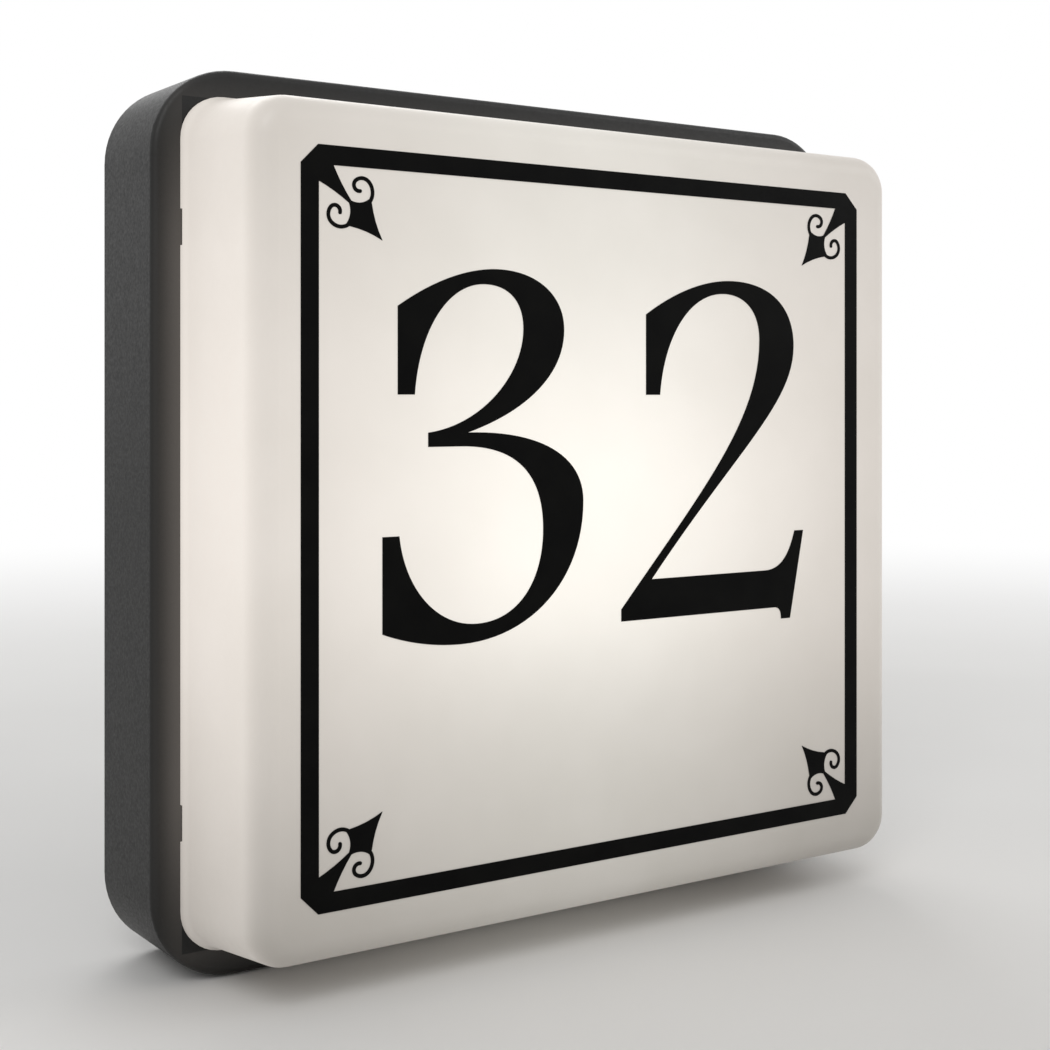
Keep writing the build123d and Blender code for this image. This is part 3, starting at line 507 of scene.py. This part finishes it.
# the left and right walls lean in less than the top and bottom ones: 1.2 mm at 126 mm, over 45 mm
SIDE_SPREAD = 1.2 / 126 / 45
_, cover_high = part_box("diffuser")


def soft_square(shape, height, inset, corner):
    """A flat square with round corners that faces the front."""
    old = set(shape.faces)
    standing = (Matrix.Translation((0, cover_high.y - height * MM, 0))
                @ Matrix.Rotation(math.pi / 2, 4, "X"))
    made = bmesh.ops.create_grid(shape, x_segments=1, y_segments=1,
                                 size=cover_high.x - inset * MM, matrix=standing)
    bmesh.ops.bevel(shape, geom=made["verts"], affect="VERTICES", offset=corner * MM,
                    segments=CORNER_STEPS, profile=0.5, material=-1)
    square = next(face for face in shape.faces if face not in old)
    bmesh.ops.scale(shape, verts=list(square.verts), vec=(1 + SIDE_SPREAD * height, 1, 1))
    return square


def stack(shape, rows):
    """Joins the squares ring to ring and keeps only the last as a face. Gives the first ring."""
    squares = [soft_square(shape, *row) for row in rows]
    rings = [list(square.edges) for square in squares]
    bmesh.ops.delete(shape, geom=squares[:-1], context="FACES_ONLY")
    for ring, following in zip(rings, rings[1:]):
        bmesh.ops.bridge_loops(shape, edges=ring + following)
    return rings[0]


formed = bmesh.new()
back_rings = stack(formed, outer_rows) + stack(formed, inner_rows)
bmesh.ops.bridge_loops(formed, edges=back_rings)
bmesh.ops.recalc_face_normals(formed, faces=formed.faces)
print("cover of", len(formed.faces), "faces, still without beads and notches")


# %% Adding and cutting with a modifier
def carve(blank, *steps):
    """The mesh of an object after tools were added to it or cut from it."""
    for number, (tool, operation) in enumerate(steps):
        step = blank.modifiers.new("step%d" % number, "BOOLEAN")
        step.object = tool
        step.operation = operation
        step.solver = "EXACT"
        step.use_self = True
    done = blank.evaluated_get(bpy.context.evaluated_depsgraph_get())
    mesh = bpy.data.meshes.new_from_object(done)
    for scratch in [blank] + [tool for tool, operation in steps]:
        bpy.data.objects.remove(scratch)
    return mesh


print("blanks can be carved")

# %% Beads added, notches cut
# all in millimetres: how far the clips are above and below the middle
CLIP_Z = 90.5
# from and to beside the middle, front and back before the wall, and length
BEADS = (125.7, 128.3, 47.1, 45.6, 14.0)
NOTCHES = (130.3, 133.0, 41.4, 39.0, 11.2)


def blocks(name, x_from, x_to, front, back, length):
    """Four equal blocks beside the clips: at both sides and at two heights."""
    shape = bmesh.new()
    for side in (-1, 1):
        for level in (-CLIP_Z, CLIP_Z):
            block = bmesh.ops.create_cube(shape, size=1.0)["verts"]
            bmesh.ops.scale(shape, verts=block,
                            vec=((x_to - x_from) * MM, (front - back) * MM, length * MM))
            bmesh.ops.translate(shape, verts=block, vec=Vector(
                (side * (x_from + x_to) / 2, -(front + back) / 2, level)) * MM)
    return as_object(name, shape)


beads = blocks("beads", *BEADS)
notches = blocks("notches", *NOTCHES)
whole = bmesh.new()
whole.from_mesh(carve(as_object("formed", formed), (beads, "UNION"), (notches, "DIFFERENCE")))
cover = finish_piece("cover_formed", whole, opal, "cover", ["diffuser"])
smooth(cover, degrees=25)

# %% Numerals laid on the face
# the flat sheet is set upright, fitted to the film and moved to its plane
sheet.transform(Matrix.Translation(film_middle) @ Matrix.Scale(film_fit, 4)
                @ Matrix.Rotation(math.pi / 2, 4, "X"))
flat = bmesh.new()
flat.from_mesh(sheet)
finish_piece("numerals_film", flat, vinyl, "cover")

# %% [markdown]
# Plated, rolled and galvanised metal
#
# Metal has no colour of its own beyond its mirror, so each of these is fully metallic and told
# apart by tone and by grain. Zinc plate is a bluish grey with faint clouds. Spring steel keeps the
# long lines of rolling. Galvanised sheet has frost flowers, which Voronoi cells draw, each with
# its own tone. Nickel is warm and bright, brass is yellow with brown tarnish, and tin and solder
# are pale and soft.

# %% Zinc plate on the screws: bluish, faintly clouded
METAL = {"Metallic": 1.0}
zinc = ground("zinc_plated_steel", ("#a9acae", "#c3c5c6"), patch_mm=4, grain_mm=0.5,
              rough=(0.24, 0.38), relief_mm=0.006, sockets=METAL)

# %% Spring steel, rolled and tempered: long lines and a straw tint
spring = ground("spring_steel_rolled", ("#8c8983", "#a3a19c"), patch_mm=9, grain_mm=0.35,
                rough=(0.2, 0.4), relief_mm=0.006, stretch=(1, 1, 0.06), sockets=METAL)
put(nodes["cover_clips"], spring)

# %% Galvanised sheet on the bracket: frost flowers 7 mm wide
FLOWER_MM = 7
DULL_FLOWER = 0.62
# a Mix node in colour mode takes its colours at sockets 6 and 7 and gives the result at 2
MIX_A, MIX_B, MIXED = 6, 7, 2
galvanised = ground("galvanised_spangle", ("#9b9d9c", "#b1b2b0"), patch_mm=15, grain_mm=1.0,
                    rough=(0.3, 0.42), relief_mm=0.006, sockets=METAL)
tree, shader, place, tone = opened(galvanised)
flower = add(tree, "TexVoronoi", {"Vector": place, "Scale": per_mm(FLOWER_MM)}, feature="F1")
shade = add(tree, "SeparateColor", {0: flower.outputs["Color"]})
frost = add(tree, "ValToRGB", {"Fac": shade.outputs[0]},
            stops=[(0.0, grey(DULL_FLOWER)), (1.0, grey(1.0))])
spangle = add(tree, "Mix", {0: 1.0, MIX_A: tone, MIX_B: frost.outputs[0]}, data_type="RGBA",
              blend_type="MULTIPLY")
tree.links.new(spangle.outputs[MIXED], shader.inputs["Base Color"])
put(nodes["holder_bracket"], galvanised)

# %% Nickel on brass, rolled thin for the screw shells: warm and bright
nickel = ground("nickel_plated_brass", ("#b3aea2", "#c9c5ba"), patch_mm=8, grain_mm=0.6,
                rough=(0.16, 0.3), relief_mm=0.004, sockets=METAL)

# %% Brass, drawn and turned: yellow, with brown tarnish in patches
brass = ground("brass_turned", ("#8f6a34", "#c29a52"), patch_mm=3, grain_mm=0.4, rough=(0.22, 0.4),
               relief_mm=0.005, sockets=METAL)
put(nodes["holder_contact"], brass)
put(nodes["terminal_inserts"], brass)

# %% Tinned copper, stamped, on the earth tag: pale and soft
tin = ground("tinned_copper_stamped", ("#aba49b", "#bdb8b0"), patch_mm=3, grain_mm=0.5,
             rough=(0.3, 0.45), relief_mm=0.008, sockets=METAL)
put(nodes["earth_tag"], tin)

# %% Solder, left to freeze, on the lamp's tip: frosted
solder = ground("solder_frosted", ("#a3a3a1", "#bfbfbc"), patch_mm=2, grain_mm=0.4,
                rough=(0.28, 0.5), relief_mm=0.02, sockets=METAL)
put(nodes["bulb_contact"], solder)

# %% [markdown]
# Paint, glaze, glass and rubber
#
# The reflector plate is powder coated: white, with the orange peel that melted powder leaves. The
# porcelain has a clear glaze over a creamy body, which is a coat over a rougher base. The plug of
# the lamp cap is black glass, and the seal and grommet are rubber, dull and a little dusty.

# %% Powder coat, baked: orange peel 1.3 mm wide
powder = ground("powder_coat_white", ("#c9c8c4", "#cfcecb"), patch_mm=40, grain_mm=1.3,
                rough=(0.34, 0.44), relief_mm=0.03)
put(nodes["reflector_plate"], powder)

# %% Porcelain, glazed: iron specks under a clear coat
SPECK_CELL_MM = 3.5
# in cells: a speck is full inside the first distance and gone beyond the second
SPECK_EDGE = (0.05, 0.09)
porcelain = ground("porcelain_glazed", ("#c9c3b4", "#d2cdc0"), patch_mm=12, grain_mm=1.5,
                   rough=(0.4, 0.55), relief_mm=0.03,
                   sockets={"Coat Weight": 1.0, "Coat Roughness": 0.06})
tree, shader, place, tone = opened(porcelain)
dots = add(tree, "TexVoronoi", {"Vector": place, "Scale": per_mm(SPECK_CELL_MM)}, feature="F1")
fleck = add(tree, "MapRange", {"Value": dots.outputs["Distance"], "From Min": SPECK_EDGE[0],
                               "From Max": SPECK_EDGE[1]})
specks = add(tree, "Mix", {0: fleck.outputs[0], MIX_A: colour("#8d8168"), MIX_B: tone},
             data_type="RGBA")
tree.links.new(specks.outputs[MIXED], shader.inputs["Base Color"])
put(nodes["holder_body"], porcelain)

# %% Black glass, fused, of the cap's plug: smooth and deep
glass = ground("vitrite_fused", ("#0e0e12", "#17161c"), patch_mm=5, grain_mm=1.2,
               rough=(0.06, 0.14), relief_mm=0.02)
put(nodes["bulb_insulator"], glass)

# %% Rubber, moulded: dull, with a pale bloom
rubber = ground("epdm_rubber_moulded", ("#151515", "#222221"), patch_mm=9, grain_mm=0.7,
                rough=(0.7, 0.85), relief_mm=0.03, sockets={"Specular IOR Level": 0.3})
put(nodes["cover_seal"], rubber)
put(nodes["cable_grommet"], rubber)

# %% [markdown]
# Small mouldings
#
# The terminal block is natural polyamide, creamy and waxy, the cable clamp grey polyamide. The
# leads are sheathed in smooth PVC: brown for live, blue for neutral, and green with a yellow
# stripe for earth. The earth lead runs along X, so its stripe is a matter of height alone.

# %% Polyamide, moulded: waxy on the block, duller on the clamp
waxy = ground("polyamide_natural", ("#cbc4b2", "#d3cdbd"), patch_mm=8, grain_mm=0.9,
              rough=(0.36, 0.5), relief_mm=0.02,
              sockets={"Subsurface Weight": 0.15, "Subsurface Scale": 1.5 * MM})
put(nodes["terminal_block"], waxy)
clamp_grey = ground("polyamide_grey", ("#6f706e", "#7d7e7b"), patch_mm=8, grain_mm=0.9,
                    rough=(0.42, 0.56), relief_mm=0.03)
put(nodes["cable_clamp"], clamp_grey)

# %% PVC, extruded: three smooth sheaths, one with a stripe
SHEATHS = {"live_wire": ("#4c2713", "#5a3018"), "neutral_wire": ("#12489b", "#1a55ad"),
           "earth_wire": ("#2f7a1c", "#388a22")}
for wire, tones in SHEATHS.items():
    sheath = ground("pvc_" + wire, tones, patch_mm=12, grain_mm=0.8, rough=(0.3, 0.42),
                    relief_mm=0.01)
    put(nodes[wire], sheath)
tree, shader, place, tone = opened(sheath)
earth_low, earth_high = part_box("earth_wire")
axes = add(tree, "SeparateXYZ", {0: place})
above = add(tree, "Math", {0: axes.outputs["Z"], 1: (earth_low.z + earth_high.z) / 2},
            operation="GREATER_THAN")
stripe = add(tree, "Mix", {0: above.outputs[0], MIX_A: tone, MIX_B: colour("#d8c322")},
             data_type="RGBA")
tree.links.new(stripe.outputs[MIXED], shader.inputs["Base Color"])
print("stripe on", sheath.name)

# %% [markdown]
# The lamp
#
# The lamp is lit, so its dome shines: an opal polycarbonate shell that is brightest at the front
# and dims towards its neck. The neck is smooth white plastic, and the board inside is white with
# yellow phosphor chips on its front.

# %% Opal polycarbonate, blown, of the dome: lit from inside
DOME_GLOW = (0.62, 0.34)
dome_low, dome_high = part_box("bulb_globe")
dome = ground("polycarbonate_opal_lit", ("#a39c90", "#aaa498"), patch_mm=14, grain_mm=1.0,
              rough=(0.4, 0.5), relief_mm=0.01, sockets={"Emission Color": colour("#fff0dc")})
tree, shader, place, _ = opened(dome)
axes = add(tree, "SeparateXYZ", {0: place})
lit = add(tree, "MapRange", {"Value": axes.outputs["X"], "From Min": dome_low.x,
                             "From Max": dome_high.x, "To Min": DOME_GLOW[0],
                             "To Max": DOME_GLOW[1]}, interpolation_type="SMOOTHSTEP")
tree.links.new(lit.outputs[0], shader.inputs["Emission Strength"])
put(nodes["bulb_globe"], dome)

# %% White polyester, moulded, of the neck: smooth
neck = ground("pbt_moulded_white", ("#c6c4be", "#cdccc7"), patch_mm=20, grain_mm=1.1,
              rough=(0.3, 0.42), relief_mm=0.012)
put(nodes["bulb_housing"], neck)

# %% Solder mask, printed on the board, and its phosphor chips
CHIP_HEIGHT = 0.65 * MM
board_low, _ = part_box("bulb_board")
board = ground("solder_mask_white", ("#c2c3bf", "#cccdc9"), patch_mm=6, grain_mm=0.6,
               rough=(0.3, 0.4), relief_mm=0.01)
tree, shader, place, tone = opened(board)
axes = add(tree, "SeparateXYZ", {0: place})
chip = add(tree, "Math", {0: axes.outputs["X"], 1: board_low.x + CHIP_HEIGHT},
           operation="LESS_THAN")
phosphor = add(tree, "Mix", {0: chip.outputs[0], MIX_A: tone, MIX_B: colour("#d9b52c")},
               data_type="RGBA")
tree.links.new(phosphor.outputs[MIXED], shader.inputs["Base Color"])
put(nodes["bulb_board"], board)

# %% [markdown]
# Rolled screw threads
#
# The lamp's cap and its shell in the holder are thin sheet, rolled into one round-bottomed thread
# of 3.63 mm pitch. Spin turns a profile, and a step along the axis with each turn makes it a
# screw. The profile is one pitch of a wave, so that each turn meets the next, and the ends are cut
# square. The pitch is read from the joint that couples the lamp's turn to its travel, so that both
# threads stay in step while the lamp comes out.

# %% A threaded sleeve of thin sheet
PITCH = frame["record"]["behaviour"]["couplings"][0]["ratio"] * 2 * math.pi
THREAD_MIDDLE = 12.675 * MM
THREAD_DEPTH = 0.375 * MM
WAVE_POINTS = 12
TURN_STEPS = 48
SEAM = 0.002 * MM
cap_low, cap_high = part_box("bulb_cap")
LAMP_AXIS = Vector((0, (cap_low.y + cap_high.y) / 2, 0))


def wave_sheet(shape, start, end, radius, wall):
    """Adds rolled sheet between two places on the lamp's axis. Its wall grows outwards."""
    # whole turns counted from X = 0 keep cap and shell in step, and what is too long is cut off
    first = round(start / PITCH) - 1
    turns = math.ceil((end - start) / PITCH) + 2
    chain = []
    for step in range(WAVE_POINTS + 1):
        along = step / WAVE_POINTS
        out = radius + THREAD_DEPTH * math.cos(2 * math.pi * along)
        chain.append(shape.verts.new(LAMP_AXIS + Vector(((first + along) * PITCH, 0, out))))
    links = [shape.edges.new(pair) for pair in zip(chain, chain[1:])]
    bmesh.ops.spin(shape, geom=chain + links, cent=LAMP_AXIS, axis=(1, 0, 0),
                   angle=2 * math.pi * turns, steps=TURN_STEPS * turns,
                   dvec=(PITCH / TURN_STEPS, 0, 0))
    bmesh.ops.remove_doubles(shape, verts=shape.verts, dist=SEAM)
    for cut, keep in ((start, "clear_inner"), (end, "clear_outer")):
        bmesh.ops.bisect_plane(shape, geom=shape.verts[:] + shape.edges[:] + shape.faces[:],
                               plane_co=(cut, 0, 0), plane_no=(1, 0, 0), **{keep: True})
    bmesh.ops.recalc_face_normals(shape, faces=shape.faces)
    bmesh.ops.solidify(shape, geom=shape.faces[:], thickness=wall)


print("pitch", round(PITCH / MM, 3), "mm")


# %% Plain turned rings for the ends of a sleeve
def lathe(shape, profile, end, outer):
    """Adds a ring turned round the lamp's axis from a closed profile.

    The profile is in millimetres, along the axis from an end and out from the outer radius.
    """
    ring = [shape.verts.new(LAMP_AXIS + Vector((end + along * MM, 0, outer + out * MM)))
            for along, out in profile]
    links = [shape.edges.new(pair) for pair in zip(ring, ring[1:] + ring[:1])]
    bmesh.ops.spin(shape, geom=ring + links, cent=LAMP_AXIS, axis=(1, 0, 0), angle=2 * math.pi,
                   steps=2 * TURN_STEPS, use_merge=True)


print("rings have", 2 * TURN_STEPS, "sides")

# %% The lamp's cap: collar, thread and rolled nose
CAP_SHEET = 0.3 * MM
CAP_ENDS = 2.2 * MM
COLLAR = [(0, -0.9), (0, -0.2), (0.2, 0), (2.4, 0), (2.8, -0.5), (2.8, -0.9)]
NOSE = [(-2.6, -1.2), (-2.4, -0.6), (-1.6, -0.5), (-0.3, -1.5), (0, -1.9), (0, -2.5),
        (-0.6, -2.4)]
cap = bmesh.new()
cap_r = (cap_high.z - cap_low.z) / 2
wave_sheet(cap, cap_low.x + CAP_ENDS, cap_high.x - CAP_ENDS, THREAD_MIDDLE - CAP_SHEET, CAP_SHEET)
lathe(cap, COLLAR, cap_low.x, cap_r)
lathe(cap, NOSE, cap_high.x, cap_r)
cap_piece = finish_piece("cap_threaded", cap, nickel, "bulb", ["bulb_cap"])
smooth(cap_piece, degrees=50)

# %% The holder's shell: thread and turned-in back
SHELL_SHEET = 0.35 * MM
THREAD_PLAY = 0.35 * MM
SHELL_END = 0.7 * MM
TURNED_IN = [(-0.9, -1.7), (-0.9, -0.1), (0, -0.1), (0, -1.7)]
shell_low, shell_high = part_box("holder_shell")
shell_r = (shell_high.z - shell_low.z) / 2
shell = bmesh.new()
wave_sheet(shell, shell_low.x, shell_high.x - SHELL_END, THREAD_MIDDLE + THREAD_PLAY, SHELL_SHEET)
lathe(shell, TURNED_IN, shell_high.x, shell_r)
shell_piece = finish_piece("shell_threaded", shell, nickel, "base",
                           ["holder_shell"])
smooth(shell_piece, degrees=50)

# %% [markdown]
# Screws
#
# A pan-head screw is a lathe part: a low dome on a shank, with a cross recess pressed into it. The
# dome is spun from a profile, and a cross of two tapered bars is cut out of it. All screws of one
# size share that shape, and each set finds its seats from the box of the solid that it stands for.

# %% A turned screw with a pan head
# radius and height in millimetres: the head from its crown to the shank, and the screw's tip
HEAD = [(0, 2.3), (1.3, 2.25), (2.2, 2.0), (2.9, 1.5), (3.3, 0.85), (3.4, 0.3), (3.25, 0),
        (1.6, 0)]
TIP = [(1.6, 0.8), (1.0, 0), (0, 0)]
SCREW_STEPS = 40


def screw_shape(shank):
    """One screw on the Z axis, its head standing on the plane of X and Y."""
    turned = bmesh.new()
    profile = HEAD + [(out, up - shank / MM) for out, up in TIP]
    chain = [turned.verts.new(Vector((out, 0, up)) * MM) for out, up in profile]
    links = [turned.edges.new(pair) for pair in zip(chain, chain[1:])]
    bmesh.ops.spin(turned, geom=chain + links, cent=(0, 0, 0), axis=(0, 0, 1), angle=2 * math.pi,
                   steps=SCREW_STEPS, use_merge=True)
    bmesh.ops.remove_doubles(turned, verts=turned.verts, dist=MERGE)
    bmesh.ops.recalc_face_normals(turned, faces=turned.faces)
    return turned


print("screws have", SCREW_STEPS, "sides")

# %% The cross pressed into the head
HEAD_HEIGHT = 2.3 * MM
# a bar of the cross is this wide, long and deep, and its lower end is this much smaller
CROSS_BAR = (0.8 * MM, 3.8 * MM, 1.6 * MM)
CROSS_TAPER = (0.6, 0.45, 1)


def cross_cutter():
    """Two crossed bars that narrow downwards."""
    bars = bmesh.new()
    for turn in (0, math.pi / 2):
        bar = bmesh.ops.create_cube(bars, size=1.0)["verts"]
        bmesh.ops.scale(bars, vec=CROSS_BAR, verts=bar)
        low_end = [v for v in bar if v.co.z < 0]
        bmesh.ops.scale(bars, vec=CROSS_TAPER, verts=low_end)
        bmesh.ops.rotate(bars, matrix=Matrix.Rotation(turn, 3, "Z"), verts=bar)
        bmesh.ops.translate(bars, vec=(0, 0, HEAD_HEIGHT), verts=bar)
    return bars


def cut_screw(shank):
    """The mesh of a screw with its cross recess cut."""
    cutter = as_object("cutter", cross_cutter())
    return carve(as_object("blank", screw_shape(shank)), (cutter, "DIFFERENCE"))


print("cross", round(CROSS_BAR[1] / MM, 1), "mm long")

# %% Seats
HEAD_R = 3.4 * MM


def seats_of(low, high, along, head_plane):
    """Where the screws in a box stand: in its corners, one head's radius in.

    A box as wide as one head gives the same place twice, and the set keeps it once.
    """
    ends = [sorted({round(low[axis] + HEAD_R, 6), round(high[axis] - HEAD_R, 6)})
            for axis in range(3)]
    ends[along] = [head_plane]
    return [Vector((x, y, z)) for x in ends[0] for y in ends[1] for z in ends[2]]


print("seats are", round(HEAD_R / MM, 1), "mm in from the corners")

# %% Screws in their seats
# each way of facing: the axis that a screw lies along, and the turn that lays it so
FACING = {"front": (1, Matrix.Rotation(math.pi / 2, 4, "X")),
          "right": (0, Matrix.Rotation(math.pi / 2, 4, "Y"))}
# no two recesses of a set stop at the same angle
FIRST_TWIST = 0.3
NEXT_TWIST = 0.7


def place_screws(node, facing, material):
    """A mesh of all screws of one node, in the place of its solids."""
    low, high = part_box(node)
    along, turn = FACING[facing]
    head_plane = low.y + HEAD_HEIGHT if facing == "front" else high.x - HEAD_HEIGHT
    one = cut_screw(high[along] - low[along] - HEAD_HEIGHT)
    whole = bmesh.new()
    for number, seat in enumerate(seats_of(low, high, along, head_plane)):
        copy = one.copy()
        twist = Matrix.Rotation(FIRST_TWIST + NEXT_TWIST * number, 4, "Z")
        copy.transform(Matrix.Translation(seat) @ turn @ twist)
        whole.from_mesh(copy)
    smooth(finish_piece(node + "_cut", whole, material, "base", [node]))


for node in ("clip_screws", "reflector_screws", "bracket_screws", "terminal_block_screw",
             "clamp_screws", "earth_screw"):
    place_screws(node, "front", zinc)
place_screws("holder_terminal_screws", "front", brass)
place_screws("holder_screws", "right", zinc)
put(nodes["terminal_screws"], zinc)

# %% [markdown]
# A floor and soft light
#
# The sign stands on a plain pale floor in soft, even light. Large soft lamps give gentle shading
# and no hard shadows. The background is made white only for the camera and for reflections, so
# that it puts no more light on the sign.

# %% Floor, painted pale
FLOOR_GAP = 0.5 * MM
FLOOR_HALF = 20.0
# metres from the sign's middle at which the floor starts to fade and at which it is white
FADE = (0.35, 1.6)
slab = bmesh.new()
bmesh.ops.create_grid(slab, x_segments=1, y_segments=1, size=FLOOR_HALF)
bmesh.ops.translate(slab, verts=slab.verts, vec=(0, 0, cad_box[0].z - FLOOR_GAP))
floor = as_object("floor", slab)
pale = ground("floor_pale_paint", ("#e7e6e4", "#ebeae8"), patch_mm=300, grain_mm=2,
              rough=(0.65, 0.75), relief_mm=0.005)
put(floor, pale)

# %% Far from the sign the floor fades into the white backdrop, as a paper sweep does
tree, shader, place, _ = opened(pale)
far = add(tree, "VectorMath", {0: place}, operation="LENGTH").outputs["Value"]
fade = add(tree, "MapRange", {"Value": far, "From Min": FADE[0], "From Max": FADE[1]},
           interpolation_type="SMOOTHSTEP").outputs[0]
camera_only = add(tree, "LightPath").outputs["Is Camera Ray"]
fade = add(tree, "Math", {0: fade, 1: camera_only}, operation="MULTIPLY").outputs[0]
sweep = add(tree, "Emission", {"Color": grey(1.0), "Strength": 1.0})
blend = add(tree, "MixShader", {0: fade, 1: shader.outputs[0], 2: sweep.outputs[0]})
tree.links.new(blend.outputs[0], tree.nodes["Material Output"].inputs["Surface"])
print("floor fades from", FADE[0], "to", FADE[1], "m")

# %% World: white where it is seen, dimmer where it lights
WORLD_LIGHT = 0.45
world = bpy.data.worlds.new("studio")
bpy.context.scene.world = world
world.use_nodes = True
tree = world.node_tree
backdrop = tree.nodes["Background"]
path = add(tree, "LightPath")
seen = path.outputs["Is Camera Ray"]
for ray in ("Is Glossy Ray", "Is Transmission Ray"):
    seen = add(tree, "Math", {0: seen, 1: path.outputs[ray]}, operation="MAXIMUM").outputs[0]
strength = add(tree, "MapRange", {"Value": seen, "To Min": WORLD_LIGHT, "To Max": 1.0})
backdrop.inputs["Color"].default_value = grey(1.0)
tree.links.new(strength.outputs[0], backdrop.inputs["Strength"])
print("world lights at", WORLD_LIGHT)

# %% Lamps: where each stands, how wide it is, and its watts
LAMPS = {"key": ((-1.3, -1.5, 1.6), 1.2, 16.0), "fill": ((1.6, -1.2, 0.9), 1.4, 9.0),
         "rim": ((0.4, 1.4, 1.5), 1.2, 9.0)}
for name, (spot, width, power) in LAMPS.items():
    lamp = bpy.data.lights.new(name, "AREA")
    lamp.size = width
    lamp.energy = power
    stand = bpy.data.objects.new(name, lamp)
    stand.location = spot
    stand.rotation_euler = (-Vector(spot)).to_track_quat("-Z", "Y").to_euler()
    bpy.context.scene.collection.objects.link(stand)
bpy.context.scene.view_settings.view_transform = "Standard"
print("lamps", list(LAMPS))
